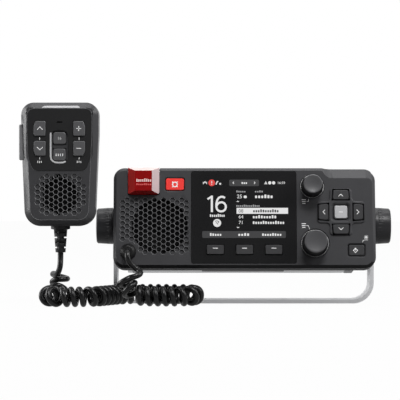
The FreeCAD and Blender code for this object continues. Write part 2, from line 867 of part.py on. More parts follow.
grille = lattice(-float(s.hex_left), -float(s.hex_right), -float(s.hex_bottom), float(s.hex_top),
                 float(s.hex_top), float(s.hex_pitch), beside_grommet)
open_hexes = []
blind_hexes = []
for x, w in grille:
    reach = math.hypot(x - speaker_place[0], w - speaker_place[1]) + float(s.hex_flats) / 2
    (open_hexes if reach <= float(s.speaker_open) else blind_hexes).append((x, w))
hex_tool = shaped("grille_tool", Part.makeCompound(
    hex_prisms(open_hexes, float(s.hex_flats), start - 1, float(s.face_wall) + 2) +
    hex_prisms(blind_hexes, float(s.hex_flats), start - 1, float(s.hex_blind) + 1)))
keep(cut("fascia", cut("fascia_with_facet", moulding, facet_tool), hex_tool), RADIO_FRAME)


# Display: cover glass with holes for the soft keys, and the module behind it
display_window = new_body("display_window")
glass_back_y = face_y + s.glass_thick
Drawing(display_window, "front", glass_back_y).rectangle(
    -s.glass_left, s.glass_right, -s.glass_drop, s.glass_top, s.glass_corner).pad(s.glass_thick)
glass_holes = Drawing(display_window, "front", face_y)
for x in soft_places:
    glass_holes.rectangle(x - soft_half_x - gap, x + soft_half_x + gap,
                          -s.soft_key_drop - soft_half_w - gap,
                          -s.soft_key_drop + soft_half_w + gap, 0.8)
glass_holes.pocket(s.glass_thick)
keep(display_window, RADIO_FRAME)

display_module = new_body("display_module")
module_front_y = glass_back_y + s.seat_gap
Drawing(display_module, "front", module_front_y + s.module_thick).rectangle(
    -s.window_half + 0.4, s.window_half - 0.4, -s.window_drop + 0.4,
    s.window_top - 0.4).pad(s.module_thick)
keep(display_module, RADIO_FRAME)


def plain_key(name, left, right, low, high, corner, top_y, edge):
    """A moulded key: a cap that comes through the face and a flange that stops behind it."""
    key = new_body(name)
    Drawing(key, "front", flange_front_y).rectangle(left, right, low, high, corner).pad(
        flange_front_y - top_y)
    dress(key, "Chamfer", edge, lambda e: in_plane(e, "y", top_y))
    lip = s.key_lip
    Drawing(key, "front", key_back_y).rectangle(left - lip, right + lip, low - lip, high + lip).pad(
        s.key_flange)
    return keep(key, RADIO_FRAME)


# Soft keys, OK key, power key and the two red buttons
for name, x in zip(("soft_key_left", "soft_key_middle", "soft_key_right"), soft_places):
    plain_key(name, x - soft_half_x, x + soft_half_x, -s.soft_key_drop - soft_half_w,
              -s.soft_key_drop + soft_half_w, 0.6, face_y - s.soft_key_proud, s.key_edge)
plain_key("ok_key", s.pad_x - ok_half, s.pad_x + ok_half, s.pad_w - ok_half, s.pad_w + ok_half, 1.2,
          face_y - s.ok_proud, s.key_edge)
for name, x, w, width, height, proud in RECESSED:
    plain_key(name, x - width / 2, x + width / 2, w - height / 2, w + height / 2, 1.6,
              face_y - proud, s.key_edge)
plain_key("distress_button", -s.cover_x - distress_half_x, -s.cover_x + distress_half_x,
          s.distress_w - distress_half_w, s.distress_w + distress_half_w, 1.2,
          face_y - s.distress_proud, s.key_edge)

# Arrow keys: wedges that narrow away from the OK key
for name, dx, dw in ARROWS:
    arrow = new_body(name)
    arrow_top_y = plateau_y - s.arrow_proud
    Drawing(arrow, "front", flange_front_y).polygon(arrow_points(dx, dw)).pad(
        flange_front_y - arrow_top_y)
    dress(arrow, "Fillet", 1.1, lambda e: along(e, "y"))
    dress(arrow, "Chamfer", s.key_edge, lambda e: in_plane(e, "y", arrow_top_y))
    Drawing(arrow, "front", key_back_y).polygon(arrow_points(dx, dw, 0.5 * s.key_lip)).pad(
        s.key_flange)
    keep(arrow, RADIO_FRAME)

# Distress cover: a hollow clear frustum with a hinge barrel along its top
cover = new_body("distress_cover")
rim_back_y = face_y + s.cover_recess - 0.3
cover_front_y = face_y - s.cover_proud


def frustum(inset, front_y, back_y):
    """The cover's outer or inner form as two rectangles, back and front."""
    back = (cover_left + inset, cover_right - inset, s.cover_low + inset, s.fascia_top - inset)
    front = (cover_left + s.cover_side_slope + 0.4 * inset,
             cover_right - s.cover_side_slope - 0.4 * inset,
             s.cover_low + s.cover_low_slope + 0.4 * inset,
             s.fascia_top - s.cover_top_slope - 0.4 * inset)
    return (back, back_y), (front, front_y)


def loft(body, kind, sections):
    made = body.newObject("PartDesign::" + kind, kind.lower())
    sketches = []
    for corners, y in sections:
        drawing = Drawing(body, "front", y)
        drawing.rectangle(*corners)
        sketches.append(drawing.sketch)
    made.Profile = sketches[0]
    made.Sections = sketches[1:]
    made.Ruled = True
    body.Tip = made
    return made


Drawing(cover, "front", rim_back_y).rectangle(
    cover_left, cover_right, s.cover_low, s.fascia_top).pad(rim_back_y - face_y)
loft(cover, "AdditiveLoft", frustum(as_size(0), cover_front_y, face_y))
doc.recompute()
dress(cover, "Fillet", 2.4, lambda e: along(e, "y") and within(e, None, (s.cover_low - 1, s.cover_low + 1)))
loft(cover, "SubtractiveLoft", frustum(s.cover_wall, cover_front_y + s.cover_wall, face_y))
Drawing(cover, "front", face_y - 0.01).rectangle(
    cover_left + s.cover_wall, cover_right - s.cover_wall, s.cover_low + s.cover_wall,
    s.notch_low - 0.6).pocket(s.cover_recess + 1)
barrel = Drawing(cover, "side", -s.cover_x)
barrel.circle(hinge_y, s.hinge_w, s.hinge_radius)
barrel.pad(s.cover_width - 1.0, both_ways=True)
pin_bore = Drawing(cover, "side", -s.cover_x)
pin_bore.circle(hinge_y, s.hinge_w, s.hinge_pin + 0.05)
pin_bore.pocket(s.cover_width + 1, both_ways=True)
keep(cover, RADIO_FRAME)
pin_length = s.cover_width + 2 * s.cover_clearance + 3.2
pin = named("cover_hinge_pin", cylinder("pin_rod", s.hinge_pin, pin_length))
keep(pin, RADIO_FRAME, (cover_left - s.cover_clearance - 1.6, hinge_y, s.hinge_w), Y_AXIS, 90)

# Rotary knobs with their shafts: dished caps on a knurled skirt
for name, x, w, radius, skirt in KNOBS:
    knob = new_body(name + "_knob_turning")
    foot_z = -s.knob_recess + 0.3
    tip = s.knob_proud
    profile = Drawing(knob, "front")
    profile.polygon([(s.shaft_radius + 0.05, foot_z), (skirt, foot_z), (skirt, s.skirt_height),
                     (radius + 0.5, s.skirt_height + 0.8), (radius, tip - 0.8),
                     (radius - 0.8, tip), (0, tip - s.knob_dish), (0, tip - 3.0),
                     (s.shaft_radius + 0.05, tip - 3.0)])
    profile.turn()
    count = int(round(float(skirt) * 5))
    grooves = []
    for k in range(count):
        angle = 2 * math.pi * k / count
        tooth = Part.makeCylinder(0.28, float(s.skirt_height + s.knob_recess),
                                  V(float(skirt + 0.1) * math.cos(angle),
                                    float(skirt + 0.1) * math.sin(angle), float(foot_z)))
        grooves.append(tooth)
    knurl = shaped(name + "_knurl", Part.makeCompound(grooves))
    keep(cut(name + "_knob", knob, knurl), RADIO_FRAME, (x, face_y, w), X_AXIS, 90)
    shaft = cylinder(name + "_shaft_rod", s.shaft_radius, tip - 3.0 + s.face_wall + s.seat_gap)
    flat = block(name + "_shaft_flat", (s.shaft_radius - 0.8, -s.shaft_radius, s.face_wall + 4.0),
                 (2.0, 2 * s.shaft_radius, tip))
    keep(cut(name + "_shaft", shaft, flat), RADIO_FRAME, (x, inner_y + s.seat_gap, w), X_AXIS, 90)
encoders = []
for name, x, w, radius, skirt in KNOBS:
    half = s.encoder_size / 2
    encoders.append(block(name + "_encoder", (x - half, inner_y + s.seat_gap, w - half),
                          (s.encoder_size, s.encoder_depth, s.encoder_size)))
keep(group("encoders", encoders), RADIO_FRAME)

# Silicone key mat and main board behind the face, cut out round the display and the encoders
def plate(name, front_y, thick, extra):
    body = new_body(name)
    outline = Drawing(body, "front", front_y + thick)
    left = -s.window_half - 4.3
    outline.polygon([(left, -s.board_drop), (s.board_half, -s.board_drop),
                     (s.board_half, s.board_notch_top), (s.board_notch, s.board_notch_top),
                     (s.board_notch, s.board_top), (-s.board_half, s.board_top),
                     (-s.board_half, -s.speaker_drop + s.speaker_radius + 0.4),
                     (left, -s.speaker_drop + s.speaker_radius + 0.4)])
    outline.pad(thick)
    holes = Drawing(body, "front", front_y)
    for knob_name, x, w, radius, skirt in KNOBS:
        half = s.encoder_size / 2 + extra
        holes.rectangle(x - half, x + half, w - half, w + half)
    holes.pocket(thick)
    return body


key_mat = plate("key_mat", mat_y, s.mat_thick, 0.3)
Drawing(key_mat, "front", mat_y).rectangle(
    -s.window_half - 0.6, s.window_half + 0.6, -s.window_drop - 0.4, s.window_top).pocket(s.mat_thick)
keep(key_mat, RADIO_FRAME)
main_board = plate("main_board", board_y, s.board_thick, 0.2)
keep(main_board, RADIO_FRAME)

# Loudspeaker: steel basket with its magnet, and the paper cone in front of it
basket = new_body("speaker_basket")
profile = Drawing(basket, "front")
rim_in = s.speaker_radius - 2.2
profile.polygon([(rim_in, 0), (s.speaker_radius, 0), (s.speaker_radius, -1.0),
                 (s.speaker_radius - 1.2, -1.0), (s.magnet_radius, -0.55 * s.speaker_depth),
                 (s.magnet_radius, -s.speaker_depth), (0, -s.speaker_depth),
                 (0, -0.45 * s.speaker_depth - 1.0), (s.magnet_radius - 3, -0.45 * s.speaker_depth - 1.0)])
profile.turn()
keep(basket, RADIO_FRAME, (-s.speaker_x, inner_y + s.seat_gap, -s.speaker_drop), X_AXIS, 90)
cone = new_body("speaker_cone")
profile = Drawing(cone, "front")
profile.polygon([(rim_in - 0.4, -0.3), (s.magnet_radius - 4, -0.45 * s.speaker_depth),
                 (6.0, -0.45 * s.speaker_depth), (0, -0.45 * s.speaker_depth + 2.2),
                 (0, -0.45 * s.speaker_depth + 2.8), (6.0, -0.45 * s.speaker_depth + 0.8),
                 (s.magnet_radius - 4, -0.45 * s.speaker_depth + 0.8), (rim_in - 1.6, -0.3)])
profile.turn()
keep(cone, RADIO_FRAME, (-s.speaker_x, inner_y + s.seat_gap, -s.speaker_drop), X_AXIS, 90)

# Grommet that leads the cord out of the face
grommet = new_body("cord_grommet")
profile = Drawing(grommet, "front")
profile.polygon([(0, -s.face_wall - 2.2), (s.grommet_collar + 1.6, -s.face_wall - 2.2),
                 (s.grommet_collar + 1.6, -s.face_wall - 0.05), (s.grommet_collar, -s.face_wall - 0.05),
                 (s.grommet_collar, 0.05), (s.grommet_radius, 0.05), (s.grommet_radius, 0.9),
                 (0.8 * s.grommet_radius, 2.9), (s.wire_radius + 1.0, s.grommet_proud),
                 (0, s.grommet_proud)])
profile.turn()
keep(grommet, RADIO_FRAME, (-s.grommet_x, face_y, -s.grommet_drop), X_AXIS, 90)

# Gasket between the fascia's rim and the housing's flange
gasket = new_body("housing_gasket")
Drawing(gasket, "front", gasket_back_y - 0.05).rectangle(
    -s.flange_half, s.flange_half, -s.flange_drop, s.flange_top, s.flange_corner).pad(
    s.gasket_thick - 0.1)
wide = s.gasket_wide
Drawing(gasket, "front", rim_y - 1).rectangle(
    -s.flange_half + wide, s.flange_half - wide, -s.flange_drop + wide, s.flange_top - wide,
    s.flange_corner - wide).pocket(s.gasket_thick + 2)
gasket_ears = Drawing(gasket, "front", gasket_back_y - 0.05)
for x, w in screw_spots:
    gasket_ears.circle(x, w, boss_radius)
gasket_ears.pad(s.gasket_thick - 0.1)
gasket_holes = Drawing(gasket, "front", rim_y - 1)
for x, w in screw_spots:
    gasket_holes.circle(x, w, s.screw_radius + 0.2)
gasket_holes.pocket(s.gasket_thick + 2)
keep(gasket, RADIO_FRAME)

# Die-cast rear housing: flange, hollow box with feet, side bosses, fins across the back
housing = new_body("rear_housing")
Drawing(housing, "front", s.housing_back).rectangle(
    -s.housing_half, s.housing_half, -s.housing_drop, s.housing_top).pad(
    s.housing_back - gasket_back_y)
dress(housing, "Chamfer", s.housing_chamfer, lambda e: along(e, "y"))
Drawing(housing, "front", flange_back_y).rectangle(
    -s.flange_half, s.flange_half, -s.flange_drop, s.flange_top, s.flange_corner).pad(s.flange_thick)
for side in (-1, 1):
    foot_plan = Drawing(housing, "front", s.housing_back - 6)
    foot_plan.polygon([(side * (s.foot_inner - s.foot_height), -s.housing_drop),
                       (side * s.foot_inner, -s.housing_drop - s.foot_height),
                       (side * s.foot_outer, -s.housing_drop - s.foot_height),
                       (side * (s.foot_outer + s.foot_height), -s.housing_drop + 0.5)])
    foot_plan.pad(s.housing_back - 6 - flange_back_y)
Drawing(housing, "side").circle(0, 0, s.boss_radius).pad(2 * s.boss_half, both_ways=True)
cavity_front_y = gasket_back_y - 1
Drawing(housing, "front", cavity_front_y).rectangle(
    -s.cavity_half, s.cavity_half, -s.housing_drop + s.cavity_margin,
    s.housing_top - s.cavity_margin, 4.0).pocket(s.housing_back - s.cavity_back - cavity_front_y)
fin_span = (s.fin_count - 1) * s.fin_pitch / 2
fin = Drawing(housing, "front", s.housing_back + s.fin_depth)
fin.rectangle(-fin_span - s.fin_thick / 2, -fin_span + s.fin_thick / 2,
              -s.housing_drop + 1.0, s.housing_top - s.fin_top_gap)
fin_pad = fin.pad(s.fin_depth)
fins = housing.newObject("PartDesign::LinearPattern", "fins")
fins.Originals = [fin_pad]
fins.Direction = (fin.sketch, ["H_Axis"])
bind(fins, "Length", 2 * fin_span)
bind(fins, "Occurrences", s.fin_count)
housing.Tip = fins
doc.recompute()
flange_holes = Drawing(housing, "front", gasket_back_y - 1)
for x, w in screw_spots:
    flange_holes.circle(x, w, s.screw_radius + 0.2)
flange_holes.pocket(s.flange_thick + 2)
stud_bores = Drawing(housing, "side", s.boss_half)
stud_bores.circle(0, 0, s.stud_radius + s.stud_clearance)
stud_bores.pocket(s.stud_bore_depth)
left_bore = Drawing(housing, "side", -s.boss_half + s.stud_bore_depth)
left_bore.circle(0, 0, s.stud_radius + s.stud_clearance)
left_bore.pocket(s.stud_bore_depth)
SOCKETS = (("vhf_socket", s.socket_x, s.socket_high, s.vhf_radius, s.vhf_length),
           ("gnss_socket", s.socket_x, -s.socket_low, s.gnss_radius, s.gnss_length),
           ("nmea_socket", -s.socket_x, s.socket_high, s.bus_radius, s.bus_length),
           ("power_socket", -s.socket_x, -s.socket_low, s.supply_radius, s.supply_length))
socket_holes = Drawing(housing, "front", s.housing_back - s.cavity_back - 1)
for name, x, w, radius, length in SOCKETS:
    socket_holes.circle(x, w, s.socket_plug + 0.1)
socket_holes.pocket(s.cavity_back + 2)
keep(housing, RADIO_FRAME)

# Short screws that hold the flange to the fascia's bosses
screws = []
for x, w in screw_spots:
    head = cylinder("screw_head", s.screw_head, s.screw_head_high,
                    (x, flange_back_y + s.screw_head_high + 0.05, w), X_AXIS, 90)
    rod = cylinder("screw_rod", s.screw_radius, s.screw_length,
                   (x, flange_back_y + 0.05, w), X_AXIS, 90)
    screws.append(fuse("housing_screw", [head, rod]))
keep(group("housing_screws", screws), RADIO_FRAME)

# Antenna, bus and supply sockets: a flange on the back wall, a threaded barrel and a bore
for name, x, w, radius, length in SOCKETS:
    socket = new_body(name)
    profile = Drawing(socket, "front")
    bore = radius - 1.6
    profile.polygon([(0, -s.cavity_back), (s.socket_plug, -s.cavity_back), (s.socket_plug, 0.05),
                     (radius + 2.2, 0.05), (radius + 2.2, s.socket_pad), (radius, s.socket_pad),
                     (radius, length - 0.6), (radius - 0.6, length), (bore, length),
                     (bore, s.socket_pad + 1.5), (1.4, s.socket_pad + 1.5), (1.4, length - 2.0),
                     (0, length - 2.0)])
    profile.turn()
    keep(socket, RADIO_FRAME, (x, s.housing_back, w), X_AXIS, -90)

# Clamp knobs: ribbed discs with a threaded stud into the housing's bosses
for name, side in (("right", 1), ("left", -1)):
    clamp = new_body(name + "_clamp_turning")
    profile = Drawing(clamp, "front")
    grip = s.clamp_radius
    length = s.clamp_length
    profile.polygon([(0, -s.stud_reach - s.clamp_gap), (s.stud_radius - 0.6, -s.stud_reach - s.clamp_gap),
                     (s.stud_radius, -s.stud_reach - s.clamp_gap + 0.6), (s.stud_radius, 0),
                     (grip - 1.2, 0), (grip, 1.0), (grip - s.clamp_taper, length - 1.0),
                     (grip - s.clamp_taper - 1.0, length), (0.55 * grip, length),
                     (0.45 * grip, length - 1.0), (0, length - 1.0)])
    profile.turn()
    ribs = []
    count = int(float(s.clamp_ribs))
    for k in range(count):
        angle = 2 * math.pi * k / count
        reach = float(grip) + 0.25
        ribs.append(Part.makeCylinder(float(s.clamp_rib_depth), float(length),
                                      V(reach * math.cos(angle), reach * math.sin(angle),
                                        float(s.clamp_rib_inset))))
    tool = shaped(name + "_clamp_grooves", Part.makeCompound(ribs))
    place = (side * (s.bracket_half + s.clamp_gap), 0, 0)
    keep(cut(name + "_clamp_knob", clamp, tool), RADIO_FRAME, place, Y_AXIS, side * 90)

# Handset: planes counted from its front face, which looks towards -Y
half_height = s.handset_height / 2
split_y = s.handset_front_depth
back_y = split_y + s.handset_back_depth


def handset_points(shrink):
    """The handset's outline: straight shoulders, then sides that taper to the foot."""
    return [(-s.handset_low_half + shrink, -half_height + shrink),
            (s.handset_low_half - shrink, -half_height + shrink),
            (s.handset_half - shrink, s.handset_shoulder),
            (s.handset_half - shrink, half_height - shrink),
            (-s.handset_half + shrink, half_height - shrink),
            (-s.handset_half + shrink, s.handset_shoulder)]


def handset_form(body, back, depth, shrink, top_radius, low_radius):
    Drawing(body, "front", back).polygon(handset_points(shrink)).pad(depth)
    dress(body, "Fillet", top_radius,
          lambda e: along(e, "y") and within(e, None, (half_height - shrink - 0.1, 200)))
    dress(body, "Fillet", low_radius,
          lambda e: along(e, "y") and within(e, None, (-200, -half_height + shrink + 0.1)))


front_shell = new_body("handset_front_moulding")
handset_form(front_shell, split_y, s.handset_front_depth, as_size(0), s.handset_corner,
             s.handset_low_corner)
dress(front_shell, "Chamfer", s.handset_bevel, lambda e: in_plane(e, "y", 0))
wall = s.handset_wall


def handset_cavity(body, front, depth):
    Drawing(body, "front", front).rectangle(
        -s.handset_low_half + 3 * wall, s.handset_low_half - 3 * wall,
        -half_height + 3 * wall, half_height - 3 * wall, 5.0).pocket(depth)


handset_cavity(front_shell, s.panel_thick + wall, s.handset_front_depth)
panel_points = [(-s.panel_half + s.panel_taper, -s.panel_low), (s.panel_half - s.panel_taper, -s.panel_low),
                (s.panel_half, s.panel_low), (s.panel_half, s.panel_top),
                (-s.panel_half, s.panel_top), (-s.panel_half, s.panel_low)]
Drawing(front_shell, "front", 0).polygon(panel_points).pocket(s.panel_thick)
HANDSET_KEYS = []
for row, w in (("upper", s.side_key_high), ("lower", s.side_key_low)):
    for column, side in (("left", -1), ("right", 1)):
        HANDSET_KEYS.append(("handset_%s_%s_key" % (row, column), side * s.side_key_x, w,
                             s.side_key_width, s.side_key_height))
    mid_w = s.mid_key_high if row == "upper" else s.mid_key_low
    HANDSET_KEYS.append(("handset_%s_middle_key" % row, as_size(0), mid_w, s.mid_key_width,
                         s.mid_key_height))
hand_gap = s.key_clearance
shell_holes = Drawing(front_shell, "front", 0)
for name, x, w, width, height in HANDSET_KEYS:
    shell_holes.rectangle(x - width / 2 - hand_gap, x + width / 2 + hand_gap,
                          w - height / 2 - hand_gap, w + height / 2 + hand_gap)
shell_holes.rectangle(-s.mic_slit / 2, s.mic_slit / 2, s.mic_w - s.mic_slit_high / 2,
                      s.mic_w + s.mic_slit_high / 2)
shell_holes.pocket(s.panel_thick + wall)
ptt_slot = Drawing(front_shell, "side", -s.handset_half)
ptt_mid_y = split_y - s.ptt_width / 2 - 0.6
ptt_slot.rectangle(ptt_mid_y - s.ptt_width / 2 - 0.3, ptt_mid_y + s.ptt_width / 2 + 0.3,
                   s.ptt_w - s.ptt_height / 2 - 0.3, s.ptt_w + s.ptt_height / 2 + 0.3, 2.0)
ptt_cut = ptt_slot.pocket(s.ptt_depth + 0.8)
ptt_cut.Reversed = True
doc.recompute()
hand_grille = lattice(-float(s.handset_grille_radius), float(s.handset_grille_radius),
                      -float(s.handset_grille_w) - 20, -float(s.handset_grille_w) + 20,
                      -float(s.handset_grille_w) + 4 * float(s.hex_pitch), float(s.hex_pitch),
                      lambda x, w: math.hypot(x, w + float(s.handset_grille_w)) <=
                      float(s.handset_grille_radius))
hand_hexes = shaped("handset_grille_tool", Part.makeCompound(hex_prisms(
    hand_grille, float(s.hex_flats), -1.0, float(s.panel_thick + wall) + 2)))
keep(cut("handset_front", front_shell, hand_hexes), HANDSET_FRAME)

# Handset back shell with the hang stud's boss and screw holes
back_shell = new_body("handset_back")
handset_form(back_shell, back_y, s.handset_back_depth - 0.05, as_size(0), s.handset_corner,
             s.handset_low_corner)
dress(back_shell, "Chamfer", s.handset_back_bevel, lambda e: in_plane(e, "y", back_y))
handset_cavity(back_shell, split_y - 1, s.handset_back_depth - wall + 1)
stud_hole = Drawing(back_shell, "front", split_y)
stud_hole.circle(0, s.hang_w, s.hang_neck - 0.9)
stud_hole.pocket(s.handset_back_depth + 1)
screw_holes = Drawing(back_shell, "front", split_y - 1)
hand_screws = [(sx * s.handset_screw_x, sw * s.handset_screw_w) for sx in (-1, 1) for sw in (-1, 1)]
for x, w in hand_screws:
    screw_holes.circle(x, w, s.screw_radius + 0.1)
screw_holes.pocket(s.handset_back_depth + 2)
head_seats = Drawing(back_shell, "front", back_y - 2.4)
for x, w in hand_screws:
    head_seats.circle(x, w, s.screw_head + 0.2)
head_seats.pocket(5.0)
keep(back_shell, HANDSET_FRAME)
handset_screws = []
for x, w in hand_screws:
    handset_screws.append(fuse("handset_screw", [
        cylinder("head", s.screw_head, 1.8, (x, back_y - 0.55, w), X_AXIS, 90),
        cylinder("rod", s.screw_radius, s.handset_back_depth - 2.6, (x, back_y - 2.35, w), X_AXIS, 90)]))
keep(group("handset_screws", handset_screws), HANDSET_FRAME)

# Key panel, keys and key mat of the handset
panel = new_body("handset_panel")
Drawing(panel, "front", s.panel_thick - 0.05).polygon(
    [(x * 0.996, w - 0.05 if w is s.panel_top else w) for x, w in panel_points]).pad(s.panel_thick - 0.1)
panel_holes = Drawing(panel, "front", -1)
for name, x, w, width, height in HANDSET_KEYS:
    if "middle" in name:
        continue
    panel_holes.rectangle(x - width / 2 - hand_gap, x + width / 2 + hand_gap,
                          w - height / 2 - hand_gap, w + height / 2 + hand_gap, 1.5)
pocket_high = s.mid_key_high + s.mid_key_height / 2 + 1.4
pocket_low = s.mid_key_low - s.mid_key_height / 2 - 1.4
panel_holes.rectangle(-s.mid_pocket_half, s.mid_pocket_half, pocket_low, pocket_high,
                      s.mid_pocket_half - 0.5)
panel_holes.rectangle(-s.mic_slit / 2, s.mic_slit / 2, s.mic_w - s.mic_slit_high / 2,
                      s.mic_w + s.mic_slit_high / 2)
panel_holes.pocket(s.panel_thick + 2)
keep(panel, HANDSET_FRAME)
hand_inner_y = s.panel_thick + wall
for name, x, w, width, height in HANDSET_KEYS:
    key = new_body(name)
    key_top_y = -s.handset_key_proud if "middle" not in name else as_size(0.3)
    front_of_flange = hand_inner_y + s.seat_gap
    Drawing(key, "front", front_of_flange).rectangle(
        x - width / 2, x + width / 2, w - height / 2, w + height / 2, 1.4).pad(
        front_of_flange - key_top_y)
    dress(key, "Chamfer", s.key_edge, lambda e: in_plane(e, "y", key_top_y))
    lip = 0.6 * s.key_lip
    Drawing(key, "front", front_of_flange + s.key_flange).rectangle(
        x - width / 2 - lip, x + width / 2 + lip, w - height / 2 - lip, w + height / 2 + lip).pad(
        s.key_flange)
    keep(key, HANDSET_FRAME)
hand_mat_y = hand_inner_y + s.seat_gap + s.key_flange + s.key_travel + 0.1
mat = new_body("handset_key_mat")
Drawing(mat, "front", hand_mat_y + s.mat_thick).rectangle(
    -s.handset_low_half + 3 * wall + 0.3, s.handset_low_half - 3 * wall - 0.3,
    pocket_low - 2, s.mic_w - s.mic_radius - 0.6).pad(s.mat_thick)
keep(mat, HANDSET_FRAME)
hand_board = new_body("handset_board")
Drawing(hand_board, "front", hand_mat_y + s.mat_thick + s.board_thick).rectangle(
    -s.handset_low_half + 3 * wall + 0.3, s.handset_low_half - 3 * wall - 0.3,
    -s.handset_grille_w + s.handset_speaker_radius + 0.6, s.mic_w - s.mic_radius - 0.6).pad(
    s.board_thick)
keep(hand_board, HANDSET_FRAME)
capsule = named("mic_capsule", cylinder("capsule", s.mic_radius, s.mic_depth))
keep(capsule, HANDSET_FRAME, (0, hand_inner_y + s.seat_gap + s.mic_depth, s.mic_w), X_AXIS, 90)
keep(fuse("handset_speaker", [
    cylinder("driver", s.handset_speaker_radius, 2.0,
             (0, hand_inner_y + s.seat_gap + 2.0, -s.handset_grille_w), X_AXIS, 90),
    cylinder("driver_magnet", 0.6 * s.handset_speaker_radius, s.handset_speaker_depth,
             (0, hand_inner_y + s.seat_gap + s.handset_speaker_depth, -s.handset_grille_w),
             X_AXIS, 90)]), HANDSET_FRAME)

# Push-to-talk key on the handset's left side
ptt = new_body("ptt_key")
ptt_plan = Drawing(ptt, "side", -s.handset_half - s.ptt_proud)
ptt_plan.rectangle(ptt_mid_y - s.ptt_width / 2, ptt_mid_y + s.ptt_width / 2,
                   s.ptt_w - s.ptt_height / 2, s.ptt_w + s.ptt_height / 2, 2.0)
ptt_plan.pad(s.ptt_proud + s.ptt_depth - s.ptt_travel)
dress(ptt, "Fillet", 1.0, lambda e: in_plane(e, "x", -s.handset_half - s.ptt_proud))
keep(ptt, HANDSET_FRAME)

# Hang stud on the back of the handset
stud = new_body("hang_stud")
profile = Drawing(stud, "front")
profile.polygon([(0, -wall - 1.0), (s.hang_neck - 1.0, -wall - 1.0), (s.hang_neck - 1.0, 0.05),
                 (s.hang_neck, 0.05), (s.hang_neck, s.hang_neck_length),
                 (s.hang_head - 0.5, s.hang_neck_length), (s.hang_head, s.hang_neck_length + 0.5),
                 (s.hang_head - 0.8, s.hang_neck_length + s.hang_head_thick),
                 (0, s.hang_neck_length + s.hang_head_thick)])
profile.turn()
keep(stud, HANDSET_FRAME, (0, back_y, s.hang_w), X_AXIS, -90)

# Bulkhead hanger that holds the stud: a base plate, a rim and a front plate with an open slot
hanger = new_body("hanger_clip")
plate_front_y = back_y + s.clip_gap
plate_back_y = plate_front_y + s.clip_plate
head_back_y = back_y + s.hang_neck_length + s.hang_head_thick + s.clip_slack
base_back_y = head_back_y + s.clip_base
low_w = s.hang_w - s.clip_low
high_w = s.hang_w + s.clip_rise
Drawing(hanger, "front", base_back_y).rectangle(
    -s.clip_half, s.clip_half, low_w - s.clip_flange, high_w + s.clip_flange, 4.0).pad(s.clip_base)
Drawing(hanger, "front", head_back_y).rectangle(
    -s.clip_half, s.clip_half, low_w, high_w).pad(head_back_y - plate_front_y)
dress(hanger, "Chamfer", 0.8, lambda e: in_plane(e, "y", plate_front_y))
head_room = s.hang_head + s.clip_slack
Drawing(hanger, "front", plate_back_y).rectangle(
    -head_room, head_room, s.hang_w - head_room, high_w + 1).pocket(head_back_y - plate_back_y)
slot_room = s.hang_neck + s.clip_slack
Drawing(hanger, "front", plate_front_y - 1).rectangle(
    -slot_room, slot_room, s.hang_w - slot_room, high_w + 1).pocket(s.clip_plate + 2)
clip_holes = Drawing(hanger, "front", head_back_y - 1)
for x in (-s.clip_hole_x, s.clip_hole_x):
    for w in (low_w - s.clip_flange / 2, high_w + s.clip_flange / 2):
        clip_holes.circle(x, w, s.clip_hole_radius)
clip_holes.pocket(s.clip_base + 2)
keep(hanger, HANDSET_FRAME)

# Cord boot under the handset: a flange, then a tapering slotted sleeve
boot = new_body("boot_turning")
profile = Drawing(boot, "front")
profile.polygon([(0, 0), (s.boot_flange_radius, 0), (s.boot_flange_radius, -s.boot_flange_thick),
                 (s.boot_top_radius, -s.boot_flange_thick - 0.6),
                 (s.boot_low_radius, -s.boot_length), (0, -s.boot_length)])
profile.turn()
slots = []
for row in range(4):
    low = -float(s.boot_flange_thick) - 3.4 - 4.0 * row
    ring = Part.makeCylinder(9.0, 1.2, V(0, 0, low))
    core = Part.makeCylinder(float(s.wire_radius) + 0.6, 1.2, V(0, 0, low))
    turn = 90.0 * (row % 2)
    bridge = Part.makeBox(20.0, 2.6, 1.2, V(-10.0, -1.3, low))
    bridge.rotate(V(0, 0, 0), V(0, 0, 1), turn)
    slots.append(ring.cut([core, bridge]))
boot_slots = shaped("boot_slots", Part.makeCompound(slots))
boot_top_w = -half_height - 0.05
boot_y = s.handset_front_depth
keep(cut("cord_boot", boot, boot_slots), HANDSET_FRAME, (0, boot_y, boot_top_w))


# The cord: both leads and the coil are round tubes along lines and arcs
wire = float(s.wire_radius)
curl = float(s.curl_radius)


def arc_route(points, radii):
    """Straight runs joined by tangent arcs of the given radii."""
    pieces = []
    here = points[0]
    for k in range(1, len(points) - 1):
        inward = (points[k] - points[k - 1]).normalize()
        outward = (points[k + 1] - points[k]).normalize()
        half = inward.getAngle(outward) / 2
        reach = radii[k - 1] * math.tan(half)
        start = points[k] - inward * reach
        end = points[k] + outward * reach
        bisector = (outward - inward).normalize()
        centre = points[k] + bisector * (radii[k - 1] / math.cos(half))
        pieces.append(Part.LineSegment(here, start).toShape())
        pieces.append(Part.Arc(start, centre - bisector * radii[k - 1], end).toShape())
        here = end
    pieces.append(Part.LineSegment(here, points[-1]).toShape())
    return Part.Wire(pieces)


def free_route(points):
    """A route whose arcs are as large as their runs allow, and those arcs' radii."""
    radii = []
    for k in range(1, len(points) - 1):
        before = points[k] - points[k - 1]
        after = points[k + 1] - points[k]
        shorter = min(before.Length, after.Length)
        radii.append(0.45 * shorter / math.tan(before.getAngle(after) / 2))
    return arc_route(points, radii), radii


def tube(path, sides=8):
    """A tube of a few flat sides swept along a wire of lines and arcs."""
    first = path.OrderedEdges[0]
    start = first.valueAt(first.FirstParameter)
    heading = first.tangentAt(first.FirstParameter)
    sideways = heading.cross(V(0.1, 0.2, 1)).normalize() * wire
    upward = heading.cross(sideways)
    corners = []
    for k in range(sides + 1):
        angle = 2 * math.pi * (k + 0.5) / sides
        corners.append(start + sideways * math.cos(angle) + upward * math.sin(angle))
    return path.makePipeShell([Part.makePolygon(corners)], True, False)


section_area = 4 * math.sin(math.pi / 4) * wire ** 2


